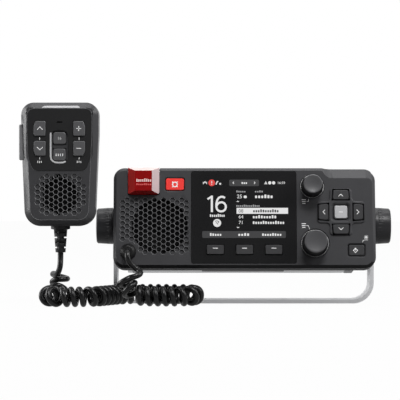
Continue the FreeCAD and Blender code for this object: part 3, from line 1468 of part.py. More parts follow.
def marks_along(path, step):
    """Points, headings and bends (one over the radius) along a path of lines and arcs."""
    marks = []
    for edge in path.OrderedEdges:
        bend = 1.0 / edge.Curve.Radius if hasattr(edge.Curve, "Radius") else 0.0
        count = max(1, int(round(edge.Length / step)))
        first, last = edge.ParameterRange
        for k in range(count):
            at = first + (last - first) * k / count
            marks.append((edge.valueAt(at), edge.tangentAt(at), bend, edge.Length / count))
    marks.append((edge.valueAt(last), edge.tangentAt(last), bend, 0.0))
    return marks


def eased_pitches(marks, step):
    """The pitch at each mark: wide enough in the bends, eased in and out of them."""
    narrow = 2 * wire + float(s.curl_gap)
    pitches = []
    for place, heading, bend, run in marks:
        pitches.append(max(float(s.curl_pitch), narrow / (1 - bend * curl)))
    reach = int(float(s.curl_pitch) / 2 / step)
    for blend in (max, lambda window: sum(window) / len(window)):
        pitches = [blend(pitches[max(0, k - reach):k + reach + 1]) for k in range(len(pitches))]
    return pitches


def curl_spots(marks, pitches, begin, end_side, end_height):
    """Points about a quarter turn apart, from a first angle to where the cord leaves the coil."""
    side = V(-1, 0, 0)
    angle = begin
    track = []
    for k, (place, heading, bend, run) in enumerate(marks):
        side = side - heading * side.dot(heading)
        side.normalize()
        across = heading.cross(side)
        offset = side * (curl * math.cos(angle)) + across * (curl * math.sin(angle))
        track.append((angle, place + offset, offset))
        angle += 2 * math.pi * run / pitches[k]
    ends = []
    for k in range(len(track) // 2, len(track) - 1):
        here = track[k][2].dot(end_side)
        if here >= track[k - 1][2].dot(end_side) and here > track[k + 1][2].dot(end_side):
            ends.append(k)
    last = min(ends, key=lambda k: abs(track[k][1].z - end_height))
    count = int(round((track[last][0] - begin) / (math.pi / 2)))
    spots = []
    at = 0
    for k in range(count + 1):
        wanted = begin + (track[last][0] - begin) * k / count
        while at < last and track[at + 1][0] < wanted:
            at += 1
        span = track[at + 1][0] - track[at][0]
        share = (wanted - track[at][0]) / span
        spots.append(track[at][1] + (track[at + 1][1] - track[at][1]) * share)
    return spots, (track[last][0] - begin) / (2 * math.pi)


def spot_headings(spots):
    """The heading at each point: that of the circle through it and its neighbours."""
    headings = []
    for k in range(len(spots)):
        middle = min(max(k, 1), len(spots) - 2)
        arc = Part.Arc(spots[middle - 1], spots[middle], spots[middle + 1])
        heading = V(*arc.tangent(arc.parameter(spots[k]))[0])
        chord = spots[middle + 1] - spots[middle - 1]
        headings.append(heading.normalize() if heading.dot(chord) > 0 else -heading.normalize())
    return headings


def biarc(start, start_heading, end, end_heading):
    """Two arcs that meet smoothly between two points with given headings."""
    chord = end - start
    both = start_heading + end_heading
    a = 2 * (start_heading.dot(end_heading) - 1)
    b = -2 * chord.dot(both)
    c = chord.dot(chord)
    root = math.sqrt(b * b - 4 * a * c)
    arm = max((-b + root) / (2 * a), (-b - root) / (2 * a))
    near = start + start_heading * arm
    far = end - end_heading * arm
    joint = (near + far) / 2
    pieces = []
    for begin, knee, finish in ((start, near, joint), (joint, far, end)):
        inward = (knee - begin).normalize()
        outward = (finish - knee).normalize()
        half = inward.getAngle(outward) / 2
        radius = arm / math.tan(half)
        bisector = (outward - inward).normalize()
        centre = knee + bisector * (radius / math.cos(half))
        pieces.append(Part.Arc(begin, centre - bisector * radius, finish).toShape())
    return pieces


def least_self_gap(path, step, skip):
    """The least gap between the tube and itself, measured on points along it."""
    marks = [mark[0] for mark in marks_along(path, step)]
    cells = {}
    size = 7.0
    least = size
    beside = [(a, b, c) for a in (-1, 0, 1) for b in (-1, 0, 1) for c in (-1, 0, 1)]
    for k, mark in enumerate(marks):
        cell = (int(mark.x // size), int(mark.y // size), int(mark.z // size))
        for a, b, c in beside:
            for other in cells.get((cell[0] + a, cell[1] + b, cell[2] + c), ()):
                if k - other > skip:
                    least = min(least, (mark - marks[other]).Length)
        cells.setdefault(cell, []).append(k)
    return least - 2 * wire


# The coil's axis lies on the floor: it comes down beside the handset, runs along the front,
# goes back under the radio, turns round and comes forward again, and climbs to the grommet
lie = wire + curl + 0.05
coil_axis = arc_route([
    V(-148.4, -29.5, 25.0), V(-148.4, -29.5, lie + 0.8), V(-159.2, -57.5, lie),
    V(-152.5, -69.0, lie), V(-119.5, -69.0, lie), V(-97.5, -25.0, lie), V(-40.4, -25.0, lie),
    V(-40.4, -60.5, lie), V(-86.4, -60.5, lie), V(-95.6, -59.0, 28.0)],
    [9.0, 8.5, 9.5, 13.0, 14.0, 17.7, 17.7, 12.0])
STEP = 0.1
marks = marks_along(coil_axis, STEP)
pitches = eased_pitches(marks, STEP)
total = coil_axis.Length
passed = 0.0
for k, (place, heading, bend, run) in enumerate(marks):
    pitches[k] += 6.0 * max(0.0, 1.6 - passed) + 1.2 * min(3.0, max(0.0, passed - total + 6.5))
    passed += run
spots, turns = curl_spots(marks, pitches, math.radians(-28), V(0.55, -0.83, 0), 23.5)
headings = spot_headings(spots)
stub = 2 * wire
coil_start = spots[0] - headings[0] * stub
coil_end = spots[-1] + headings[-1] * stub
coil_edges = [Part.LineSegment(coil_start, spots[0]).toShape()]
tightest = 1e9
for k in range(len(spots) - 1):
    for arc in biarc(spots[k], headings[k], spots[k + 1], headings[k + 1]):
        coil_edges.append(arc)
        tightest = min(tightest, arc.Curve.Radius)
coil_edges.append(Part.LineSegment(spots[-1], coil_end).toShape())
coil_path = Part.Wire(coil_edges)
coil = keep(shaped("cord_coil", tube(coil_path)))


def eased_turn(start, heading, goal, corners, step):
    """Points that turn evenly from one heading to another."""
    across = (goal - heading * goal.dot(heading)).normalize()
    turn = heading.getAngle(goal)
    points = [start]
    for k in range(corners):
        angle = turn * k / corners
        points.append(points[-1] + (heading * math.cos(angle) + across * math.sin(angle)) * step)
    return points


# Leads: from the coil up to the boot, and from the coil up to the grommet
boot_tip = V(-float(s.handset_x), -float(s.handset_y + -boot_y),
             float(s.handset_z + boot_top_w - s.boot_length))
handset_turn = eased_turn(coil_start, -headings[0], V(0, 0.37, 0.93).normalize(), 3, 4.0)
handset_points = handset_turn + [boot_tip - V(0, 0, 4.6), boot_tip]
handset_path, handset_radii = free_route(handset_points)
lead = keep(shaped("cord_handset_lead", tube(handset_path)))
tilt = FreeCAD.Rotation(V(1, 0, 0), -float(s.tilt))
grommet_tip = tilt.multVec(V(-float(s.grommet_x), float(face_y - s.grommet_proud),
                             -float(s.grommet_drop))) + V(0, 0, float(s.pivot_height))
grommet_heading = tilt.multVec(V(0, -1, 0))
away = V(-0.6, 0.0, 0.8).normalize()
down = V(0.3, 0.0, -0.95).normalize()
for k in range(40):
    knuckle = eased_turn(coil_end, headings[-1], away, 4, 2.6)
    crook = eased_turn(grommet_tip, grommet_heading, down, 3, 3.3)
    straight = (crook[-1] - knuckle[-1]).normalize()
    away = (away * 0.8 + straight * 0.2).normalize()
    down = (down * 0.8 - straight * 0.2).normalize()
radio_path, radio_radii = free_route(knuckle + crook[::-1])
second_lead = keep(shaped("cord_radio_lead", tube(radio_path)))

print("curls", round(turns, 1), "cord lengths", [round(path.Length, 1) for path in
                                                (handset_path, coil_path, radio_path)])
print("tightest curl radius", round(tightest, 2))
print("least gap between curls", round(least_self_gap(coil_path, 0.5, 24), 3))
print("handset lead radii", [round(radius, 1) for radius in handset_radii])
print("radio lead radii", [round(radius, 1) for radius in radio_radii])
for item, path in ((lead, handset_path), (coil, coil_path), (second_lead, radio_path)):
    print(item.Label, "volume over section times length",
          round(item.Shape.Volume / (section_area * path.Length), 4),
          "lowest point", round(item.Shape.BoundBox.ZMin, 3))

doc.recompute()

# Every object must have recomputed, and every sub-part must be a valid shape
for item in doc.Objects:
    if "Invalid" in item.State or "Error" in item.State:
        raise RuntimeError("%s (%s) did not recompute: %s" % (item.Name, item.Label, item.State))
for piece in PIECES:
    if piece.Shape.isNull() or not piece.Shape.isValid():
        raise RuntimeError("%s has no valid shape" % piece.Label)

os.makedirs("parts", exist_ok=True)
for piece in PIECES:
    piece.Shape.exportStep("parts/%s.step" % piece.Label)
print(len(PIECES), "sub-parts")
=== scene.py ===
import json
import math
from functools import partialmethod

import bmesh
import bpy
from mathutils import Matrix, Vector

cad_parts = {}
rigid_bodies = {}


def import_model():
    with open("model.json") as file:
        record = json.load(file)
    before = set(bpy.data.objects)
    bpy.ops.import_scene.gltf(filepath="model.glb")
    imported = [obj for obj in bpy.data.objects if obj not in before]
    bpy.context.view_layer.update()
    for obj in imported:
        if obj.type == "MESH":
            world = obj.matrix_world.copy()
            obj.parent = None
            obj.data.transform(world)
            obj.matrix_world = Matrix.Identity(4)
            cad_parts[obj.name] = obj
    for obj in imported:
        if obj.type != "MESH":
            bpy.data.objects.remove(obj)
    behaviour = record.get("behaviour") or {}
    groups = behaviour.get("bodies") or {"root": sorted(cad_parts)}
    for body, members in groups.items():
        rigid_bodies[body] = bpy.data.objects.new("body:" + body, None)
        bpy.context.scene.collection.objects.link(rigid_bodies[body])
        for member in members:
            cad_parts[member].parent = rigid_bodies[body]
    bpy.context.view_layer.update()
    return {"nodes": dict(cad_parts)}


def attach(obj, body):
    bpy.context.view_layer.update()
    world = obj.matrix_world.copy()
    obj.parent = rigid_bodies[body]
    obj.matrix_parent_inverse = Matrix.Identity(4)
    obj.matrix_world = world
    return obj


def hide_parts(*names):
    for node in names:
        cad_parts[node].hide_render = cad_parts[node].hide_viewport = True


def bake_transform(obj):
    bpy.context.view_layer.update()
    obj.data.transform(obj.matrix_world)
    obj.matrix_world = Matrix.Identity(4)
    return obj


# A fixed-mount marine radio on its gimbal bracket, the fist handset beside it and the curly cord
# between the two, dressed for a product picture. Metres, in the frame of the CAD model: X to the
# right, the face towards -Y, Z up from the surface that the bracket is screwed to.
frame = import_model()


# Studio: a white sweep under and behind the radio, a tall soft light on its left, a weaker one on
# its right, one overhead and one in front, high over the camera's view. The camera stands level,
# 1.5 m in front of the face.
CAMERA_PLACE = (-0.0356, -1.542, 0.0843)
CAMERA_LENS = 168.75
ROOM_DARK = 0.05
ROOM_FILL = 0.12
FLOOR_HALF = 6
FLOOR_HEIGHT = -0.0004


def mesh_of(name, points, edges=(), faces=()):
    mesh = bpy.data.meshes.new(name)
    mesh.from_pydata(points, edges, faces)
    return mesh


def placed(name, data):
    """A new object in the scene, for that mesh, lamp or camera."""
    holder = bpy.data.objects.new(name, data)
    bpy.context.scene.collection.objects.link(holder)
    return holder


camera = placed("camera", bpy.data.cameras.new("camera"))
camera.data.sensor_width = 36.0
camera.data.lens = CAMERA_LENS
camera.data.clip_end = 50.0
camera.location = CAMERA_PLACE
camera.rotation_euler = (math.radians(90), 0, 0)
bpy.context.scene.camera = camera
bpy.context.scene.view_settings.view_transform = "Standard"


class Reading:
    """A value or colour in a node tree. Sums and products of values add the Math nodes."""

    def __init__(self, tree, socket):
        self.tree = tree
        self.socket = socket

    def out(self, name):
        return Reading(self.tree, self.socket.node.outputs[name])

    def maths(self, operation, *others):
        return self.tree.node("ShaderNodeMath", [self, *others], operation=operation)

    def __rsub__(self, other):
        return self.tree.node("ShaderNodeMath", [other, self], operation="SUBTRACT")

    __add__ = __radd__ = partialmethod(maths, "ADD")
    __sub__ = partialmethod(maths, "SUBTRACT")
    __mul__ = __rmul__ = partialmethod(maths, "MULTIPLY")
    __truediv__ = partialmethod(maths, "DIVIDE")

    def held(self, low=0.0, high=1.0):
        return self.maths("MAXIMUM", low).maths("MINIMUM", high)

    def above(self, edge, soft):
        """0 below the edge and 1 above it, over a soft step."""
        return ((self - edge) * (1.0 / soft) + 0.5).held()


class Tree:
    """A node tree and the two ways to add to it: a node, and a link."""

    def __init__(self, nodes):
        self.nodes = nodes

    def link(self, value, socket):
        if isinstance(value, Reading):
            self.nodes.links.new(value.socket, socket)
        else:
            socket.default_value = value

    def node(self, kind, values=(), **settings):
        """A new node with those values or links on its sockets, and those settings."""
        made = self.nodes.nodes.new(kind)
        for name, setting in settings.items():
            setattr(made, name, setting)
        pairs = values.items() if isinstance(values, dict) else enumerate(values)
        for name, value in pairs:
            self.link(value, made.inputs[name])
        return Reading(self, made.outputs[0]) if made.outputs else None


def linear(red, green, blue, share=1.0):
    """A colour read off a screen, 0 to 255, as the linear numbers that a shader takes."""
    return (*[min(1.0, share * (c / 255 / 12.92 if c <= 10 else ((c / 255 + 0.055) / 1.055) ** 2.4))
              for c in (red, green, blue)], 1.0)


def emptied(holder):
    holder.use_nodes = True
    holder.node_tree.nodes.clear()
    return Tree(holder.node_tree)


bpy.context.scene.world = bpy.data.worlds.new("studio")
sky = emptied(bpy.context.scene.world)
heading = sky.node("ShaderNodeSeparateXYZ", [sky.node("ShaderNodeTexCoord")])
leftwards = (heading.out("X") * -1.0).above(0.70, 0.5)
backwards = heading.out("Y").above(0.35, 0.9)
upwards = heading.out("Z").above(0.75, 0.5)
rays = sky.node("ShaderNodeLightPath")
mirrored = (rays.out("Is Glossy Ray") + rays.out("Is Transmission Ray")).held()
room = ROOM_DARK + (leftwards * 0.5 + backwards * 0.95 + upwards * 0.10).held(0.0, 0.95)
seen = rays.out("Is Camera Ray")
strength = seen + (1.0 - seen) * (mirrored * room + (1.0 - mirrored) * ROOM_FILL)
backdrop = sky.node("ShaderNodeBackground", {"Color": (1, 1, 1, 1), "Strength": strength})
sky.node("ShaderNodeOutputWorld", {"Surface": backdrop})

for name, place, aim, width, height, watts in (
        ("key_light", (0.22, -0.85, 1.20), (-0.03, -0.03, 0.07), 0.5, 0.4, 16.5),
        ("left_strip", (-1.05, 0.08, 0.40), (-0.16, -0.04, 0.12), 0.5, 0.8, 11),
        ("overhead_light", (-0.05, 0.22, 1.20), (-0.03, -0.02, 0.06), 1.0, 0.35, 5.5),
        ("right_light", (0.95, -0.30, 0.70), (0.06, -0.04, 0.06), 0.6, 0.6, 8)):
    lamp = placed(name, bpy.data.lights.new(name, "AREA"))
    lamp.data.shape = "RECTANGLE"
    lamp.data.size = width
    lamp.data.size_y = height
    lamp.data.energy = watts
    lamp.location = place
    lamp.rotation_euler = (Vector(aim) - Vector(place)).to_track_quat("-Z", "Y").to_euler()

floor_finish = bpy.data.materials.new("studio_floor")
ground = emptied(floor_finish)
paper = ground.node("ShaderNodeBsdfDiffuse", {"Color": (0.12, 0.12, 0.12, 1)})
glow = ground.node("ShaderNodeEmission", {"Color": (1, 1, 1, 1), "Strength": 1.05})
eye = ground.node("ShaderNodeLightPath")
lifted = ((eye.out("Is Camera Ray") + eye.out("Is Transmission Ray")).held() * 0.93
          + eye.out("Is Glossy Ray") * 0.55).held(0.0, 0.93)
sweep = ground.node("ShaderNodeMixShader", [lifted, paper, glow])
ground.node("ShaderNodeOutputMaterial", {"Surface": sweep})
floor_corners = [(x * FLOOR_HALF, y * FLOOR_HALF, FLOOR_HEIGHT)
                 for x, y in ((-1, -1), (1, -1), (1, 1), (-1, 1))]
floor_mesh = mesh_of("studio_floor", floor_corners, faces=[(0, 1, 2, 3)])
floor_mesh.materials.append(floor_finish)
placed("studio_floor", floor_mesh)


# Curly cord: a four-core lead in a black polyurethane jacket, wound hot on a rod and let cool.
# It leaves the handset's boot, stands in a short stack, runs over the floor under the radio's
# left end and back, and climbs to the grommet in the face.
WIRE = 0.0023
CURL = 0.0059
CURLS = 35.75
FIRST_ANGLE = math.radians(-28)
POINTS_PER_CURL = 16
CURL_PITCH = 0.00575
CURL_ROOM = 0.00485
STACK = 0.012
STACK_PITCH = 0.0048
LIE = WIRE + CURL + 0.00005
coil_axis = [
    (-0.1484, -0.0295, 0.0250), (-0.1484, -0.0300, 0.0092), (-0.1580, -0.0550, LIE),
    (-0.1490, -0.0695, LIE), (-0.1330, -0.0690, LIE), (-0.1195, -0.0665, LIE),
    (-0.1105, -0.0500, LIE), (-0.1010, -0.0315, LIE), (-0.0880, -0.0245, LIE),
    (-0.0680, -0.0250, LIE), (-0.0490, -0.0255, LIE), (-0.0400, -0.0345, LIE),
    (-0.0405, -0.0515, LIE), (-0.0500, -0.0605, LIE), (-0.0680, -0.0605, LIE),
    (-0.0840, -0.0605, LIE + 0.0002), (-0.0915, -0.0598, 0.0125), (-0.0944, -0.0593, 0.0216)]
handset_end = [
    (-0.1472, -0.0410, 0.04245), (-0.1472, -0.0410, 0.0379), (-0.1473, -0.0436, 0.0314),
    (-0.1484, -0.0428, 0.0276), (-0.1500, -0.0401, 0.0252), (-0.1517, -0.0365, 0.0251)]
radio_end = [
    (-0.0870, -0.0648, 0.0240), (-0.0832, -0.0626, 0.0254), (-0.0824, -0.0588, 0.0270),
    (-0.0846, -0.0558, 0.0290), (-0.0888, -0.0556, 0.0318), (-0.0920, -0.0572, 0.0356),
    (-0.0932, -0.0572, 0.0398), (-0.0930, -0.0546, 0.0436), (-0.0928, -0.0499, 0.0439)]
HANDSET_LEAD = 0.034
RADIO_LEAD = 0.040
COIL_LENGTH = 1.34


def mesh_from(curve):
    """The mesh that a curve makes. The curve is used up."""
    mesh = bpy.data.meshes.new_from_object(bpy.data.objects.new(curve.name, curve))
    bpy.data.curves.remove(curve)
    return mesh


def spline_line(name, points, steps):
    """The points along a NURBS spline through its control points' hull."""
    curve = bpy.data.curves.new(name, "CURVE")
    curve.dimensions = "3D"
    curve.resolution_u = steps
    spline = curve.splines.new("NURBS")
    spline.points.add(len(points) - 1)
    for knot, place in zip(spline.points, points):
        knot.co = (*place, 1.0)
    spline.order_u = 3
    spline.use_endpoint_u = True
    mesh = mesh_from(curve)
    line = [vertex.co.copy() for vertex in mesh.vertices]
    bpy.data.meshes.remove(mesh)
    return line


def distances(line):
    """How far along the line each of its points is."""
    passed = [0.0]
    for before, after in zip(line, line[1:]):
        passed.append(passed[-1] + (after - before).length)
    return passed


def curled(line):
    """The spline points of a cord that winds round the line, with more room in its bends."""
    passed = distances(line)
    last = len(line) - 1
    headings = [(line[min(k + 1, last)] - line[max(k - 1, 0)]).normalized()
                for k in range(len(line))]
    rates = []
    for k in range(len(line)):
        low, high = k, k
        while low > 0 and passed[k] - passed[low] < CURL_PITCH / 2:
            low -= 1
        while high < last and passed[high] - passed[k] < CURL_PITCH / 2:
            high += 1
        bend = headings[low].angle(headings[high], 0.0) / (passed[high] - passed[low])
        pitch = STACK_PITCH if passed[k] < STACK else CURL_PITCH
        rates.append(min(1 / pitch, (1 - bend * CURL) / CURL_ROOM))
    turned = [0.0]
    for k in range(1, len(line)):
        turned.append(turned[-1] + (rates[k] + rates[k - 1]) / 2 * (passed[k] - passed[k - 1]))
    side = Vector((-1, 0, 0))
    spokes = []
    for heading, turns in zip(headings, turned):
        side = (side - heading * side.dot(heading)).normalized()
        angle = FIRST_ANGLE + 2 * math.pi * CURLS * turns / turned[-1]
        spokes.append(side * math.cos(angle) + heading.cross(side) * math.sin(angle))
    reach = CURL / (0.75 + 0.25 * math.cos(2 * math.pi / POINTS_PER_CURL))
    count = round(CURLS * POINTS_PER_CURL)
    points = []
    k = 0
    for step in range(count + 1):
        wanted = turned[-1] * step / count
        while k < last - 1 and turned[k + 1] < wanted:
            k += 1
        share = (wanted - turned[k]) / (turned[k + 1] - turned[k])
        place = line[k].lerp(line[k + 1], share)
        points.append(tuple(place + spokes[k].lerp(spokes[k + 1], share) * reach))
    return points


curl_points = curled(spline_line("coil_axis", coil_axis, 90))
cord_line = spline_line("cord_line", handset_end + curl_points + radio_end, 4)
cord_passed = distances(cord_line)
first_cut = next(k for k, far in enumerate(cord_passed) if far > HANDSET_LEAD)
last_cut = next(k for k, far in enumerate(cord_passed) if far > cord_passed[-1] - RADIO_LEAD)


class Finish(Tree):
    """A material with one Principled shader, whose plain numbers are set on its own sockets."""

    def __init__(self, name, **plain):
        self.material = bpy.data.materials.new(name)
        self.material.use_nodes = True
        super().__init__(self.material.node_tree)
        self.shader = self.nodes.nodes["Principled BSDF"]
        for socket, value in plain.items():
            self.shader.inputs[socket.replace("_", " ")].default_value = value

    def gives(self, socket, reading):
        self.link(reading, self.shader.inputs[socket])
        return self

    def place(self):
        return self.node("ShaderNodeTexCoord").out("Object")

    def noise(self, size, detail=2.0, roughness=0.5, place=None):
        """Soft noise from 0 to 1 with features of that size in metres."""
        return self.node("ShaderNodeTexNoise", {
            "Vector": place or self.place(), "Scale": 1.0 / size, "Detail": detail,
            "Roughness": roughness})

    def varies(self, share, first, second, socket="Base Color"):
        """That socket goes from the first colour to the second with the share."""
        mix = self.nodes.nodes.new("ShaderNodeMix")
        mix.data_type = "RGBA"
        for number, value in ((0, share), (6, first), (7, second)):
            self.link(value, mix.inputs[number])
        return self.gives(socket, Reading(self, mix.outputs[2]))

    def bumped(self, height, depth, edge=0.0):
        """Relief of that depth in metres, over edges rounded by that radius."""
        values = {"Height": height, "Distance": depth, "Strength": 1.0}
        if edge:
            values["Normal"] = self.node("ShaderNodeBevel", {"Radius": edge}, samples=4)
        return self.gives("Normal", self.node("ShaderNodeBump", values))


def moulded(name, colour, rough, grain=0.0004, depth=0.00001, gloss=0.5, edge=0.0002):
    """Moulded plastic or rubber: a spark-eroded grain, slight clouds of colour and soft edges."""
    finish = Finish(name, IOR=1.48, Specular_IOR_Level=gloss)
    clouds = finish.noise(0.012, 3.0)
    fine = finish.noise(grain, 2.0, 0.6)
    shade = (clouds * 0.7 + fine * 0.3).above(0.5, 0.9)
    finish.varies(shade, linear(*colour, 0.86), linear(*colour, 1.12))
    finish.gives("Roughness", (rough - 0.04) + clouds * 0.05 + fine * 0.05)
    return finish.bumped(fine, depth, edge)


cord_finish = moulded("cord_polyurethane", (17, 17, 18), 0.32, 0.0009, 0.000012, 0.32, 0)


def settled(piece, all_layers=True):
    """The object, with what its modifiers make as its own plain mesh."""
    bpy.context.view_layer.update()
    seen_by = bpy.context.evaluated_depsgraph_get()
    made = bpy.data.meshes.new_from_object(
        piece.evaluated_get(seen_by), preserve_all_data_layers=all_layers, depsgraph=seen_by)
    piece.modifiers.clear()
    piece.data = made
    return piece


class Making(Tree):
    """A Geometry Nodes tree with named inputs, that turns one mesh into a finished one."""

    def __init__(self, name, **inputs):
        group = bpy.data.node_groups.new(name, "GeometryNodeTree")
        super().__init__(group)
        group.interface.new_socket("Geometry", in_out="INPUT", socket_type="NodeSocketGeometry")
        group.interface.new_socket("Geometry", in_out="OUTPUT", socket_type="NodeSocketGeometry")
        for label, kind in inputs.items():
            group.interface.new_socket(label, in_out="INPUT", socket_type="NodeSocket" + kind)
        self.given = self.node("NodeGroupInput").out

    def ends(self, geometry):
        """Real faces with the finish on them, which is what the tree gives."""
        real = self.node("GeometryNodeRealizeInstances", [geometry])
        faced = self.node("GeometryNodeSetMaterial", {
            "Geometry": real, "Material": self.given("Finish")})
        self.node("NodeGroupOutput", [faced])

    def make(self, name, mesh, **values):
        """A new object whose mesh is what the tree makes of the given mesh."""
        holder = placed(name, mesh)
        modifier = holder.modifiers.new(name, "NODES")
        modifier.node_group = self.nodes
        for item in self.nodes.interface.items_tree:
            if item.in_out == "INPUT" and item.name in values:
                modifier[item.identifier] = values[item.name]
        return settled(holder)


jacket = Making("cord_jacket", Radius="Float", Sides="Int", Finish="Material")
path = jacket.node("GeometryNodeMeshToCurve", [jacket.given("Geometry")])
ring = jacket.node("GeometryNodeCurvePrimitiveCircle", {
    "Resolution": jacket.given("Sides"), "Radius": jacket.given("Radius")})
skin = jacket.node("GeometryNodeCurveToMesh", {
    "Curve": path, "Profile Curve": ring, "Fill Caps": True})
jacket.ends(jacket.node("GeometryNodeSetShadeSmooth", {"Geometry": skin}))


def length_of_cord(name, line):
    """A length of the cord along the line, as a closed tube."""
    mesh = mesh_of(name, line, [(k, k + 1) for k in range(len(line) - 1)])
    made = jacket.make(name, mesh, Radius=WIRE, Sides=16, Finish=cord_finish.material)
    return made


first_line = cord_line[:first_cut + 1]
curly_line = cord_line[first_cut:last_cut + 1]
last_line = cord_line[last_cut:]
handset_lead = length_of_cord("handset_lead", first_line)
curly_cord = length_of_cord("curly_cord", curly_line)
radio_lead = length_of_cord("radio_lead", last_line)
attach(curly_cord, "stand")
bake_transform(handset_lead)
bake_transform(radio_lead)
for piece, node, end, length, lay, line in (
        (handset_lead, "cord_handset_lead", cord_line[0], HANDSET_LEAD, "hanging", first_line),
        (radio_lead, "cord_radio_lead", cord_line[-1], RADIO_LEAD, "hanging", last_line),
        (curly_cord, "cord_coil", cord_line[first_cut], COIL_LENGTH, "loose", curly_line)):
    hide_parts(node)


# Gimbal bracket: 3 mm aluminium flat bar, bent up at both ends, blasted and anodised silver.
# Nylon washers sit between its legs and the radio. The handset's hanger is coated steel.
CREASE = math.radians(32)
SAME_PLACE = 0.000002
SAME_PLANE = math.radians(0.3)


def smoothed(piece):
    """Smooth shading on a mesh's rounds only, weighted by the size of each face."""
    piece.data.polygons.foreach_set("use_smooth", [True] * len(piece.data.polygons))
    piece.data.set_sharp_from_angle(angle=CREASE)
    modifier = piece.modifiers.new("even", "WEIGHTED_NORMAL")
    modifier.keep_sharp = True
    modifier.weight = 80
    return settled(piece)


def welded(node, name=None):
    """A copy of a CAD node's mesh whose triangles are joined, as a new object."""
    mesh = frame["nodes"][node].data.copy()
    whole = bmesh.new()
    whole.from_mesh(mesh)
    bmesh.ops.remove_doubles(whole, verts=whole.verts, dist=SAME_PLACE)
    bmesh.ops.dissolve_limit(whole, angle_limit=SAME_PLANE, verts=whole.verts,
                             edges=whole.edges)
    whole.to_mesh(mesh)
    whole.free()
    mesh.materials.clear()
    return placed(name or node + "_piece", mesh)


def stands_for(piece, node):
    """The piece rides where the CAD node rides, and is shown instead of it."""
    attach(piece, frame["nodes"][node].parent.name.split(":")[1])
    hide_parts(node)


def skinned(finish, slot, *nodes):
    """The CAD nodes' own shapes with smooth rounds, in a better finish."""
    for node in nodes:
        piece = welded(node)
        piece.data.materials.append(finish.material)
        stands_for(smoothed(piece), node)


bracket_finish = Finish("anodised_aluminium", Metallic=0.9, Specular_IOR_Level=0.5)
drawn = bracket_finish.node("ShaderNodeMapping", {
    "Vector": bracket_finish.place(), "Scale": (0.25, 1.0, 1.0)})
streaks = bracket_finish.noise(0.0006, 3.0, 0.6, drawn)
bracket_finish.varies(streaks, linear(240, 241, 243), linear(252, 252, 254))
bracket_finish.gives("Roughness", 0.34 + streaks * 0.16)
bracket_finish.bumped(streaks, 0.00001)
skinned(bracket_finish, "bracket_metal", "bracket")
skinned(moulded("washer_nylon", (34, 34, 35), 0.5), "soft_rubber", "friction_washers")
skinned(moulded("hanger_coating", (38, 38, 40), 0.42, 0.0007, 0.00002), "bracket_metal",
        "hanger_clip")


# Rear housing: die-cast aluminium with cooling fins, powder coated mid grey, closed to the face
# over a silicone gasket by stainless screws. Nickel-plated sockets stand on its back.
def clouded(name, first, second, rough, spread, size, detail=3.0, **plain):
    """A finish whose colour and roughness drift over soft clouds of that size."""
    finish = Finish(name, **plain)
    cloud = finish.noise(size, detail)
    finish.varies(cloud, linear(*first), linear(*second))
    return finish.gives("Roughness", rough + cloud * spread)


cast_finish = Finish("powder_coat_grey", Metallic=0.1, Specular_IOR_Level=0.5)
peel = cast_finish.noise(0.0011, 2.0, 0.4)
cast_cloud = cast_finish.noise(0.02, 3.0)
cast_finish.varies(peel * 0.5 + cast_cloud * 0.5, linear(132, 133, 136), linear(162, 163, 165))
cast_finish.gives("Roughness", 0.42 + peel * 0.12)
cast_finish.bumped(peel, 0.00003)
skinned(cast_finish, "housing_metal", "rear_housing")
skinned(moulded("gasket_silicone", (24, 24, 25), 0.55), "silicone", "housing_gasket")
steel_finish = clouded("stainless_steel", (168, 168, 170), (204, 204, 206), 0.22, 0.16, 0.0008,
                       Metallic=1.0)
skinned(steel_finish, "steel", "housing_screws")
nickel_finish = clouded("nickel_plate", (176, 172, 162), (206, 202, 192), 0.24, 0.14, 0.0015,
                        Metallic=1.0)
skinned(nickel_finish, "nickel", "vhf_socket", "gnss_socket")
skinned(moulded("socket_nylon", (30, 30, 31), 0.45), "black_plastic", "nmea_socket",
        "power_socket")


# Inside the housing: the main board with its encoders, the silicone mat under the keys, and the
# display module. They are seen only through gaps and with the cover lifted.
board_finish = Finish("solder_mask", Roughness=0.35)
board_finish.varies(board_finish.noise(0.004, 4.0), linear(16, 52, 32), linear(26, 74, 46))
for finish, nodes in (
        (board_finish, ("main_board", "handset_board")),
        (moulded("key_mat_silicone", (30, 30, 31), 0.6), ("key_mat", "handset_key_mat")),
        (steel_finish, ("encoders", "volume_shaft", "channel_shaft", "cover_hinge_pin")),
        (moulded("module_black", (12, 12, 13), 0.4), ("display_module",)),
        (moulded("driver_black", (9, 9, 10), 0.6, 0.0006, 0.00002, 0.1, 0),
         ("speaker_basket", "handset_speaker", "mic_capsule"))):
    for node in nodes:
        for held in frame["nodes"][node].material_slots:
            held.material = finish.material


# Fascia: one black-grey ABS moulding with a fine spark-eroded grain. The band round its edge is
# bevelled, and the grille's honeycomb is set in a shallow pocket of the same moulding.
TILT = math.radians(-8.5)
PIVOT_HEIGHT = 0.063
RADIO = Matrix.Translation((0, 0, PIVOT_HEIGHT)) @ Matrix.Rotation(TILT, 4, "X")
LEVEL = RADIO.to_3x3().inverted()
MILLIMETRES = Matrix.Scale(0.001, 4)
UPRIGHT = Matrix.Rotation(math.radians(90), 4, "X")
FACE = -42.0
HEX_PITCH = 4.2
HEX_FLATS = 3.62
HEX_EDGE = 0.22
HEX_DEPTH = 1.0
HEX_WELD = 0.05
HEX_COLUMN = math.cos(math.radians(30))
GRILLE_LEFT = -97.6
GRILLE_RIGHT = -46.0
GRILLE_TOP = 15.3
GRILLE_LOW = -28.0
GROMMET = (-92.8, -26.3)
GROMMET_ROOM = 8.4
SPEAKER = (-67.2, -5.8)
SPEAKER_OPENING = 22.3
OPENING_LEFT = 0.8
FACET_FRAME = 0.0002
PAINTED_SHADE_TOP = 0.0375
FORM_WELD = 0.0005
FIGURE_SHARE = 0.70


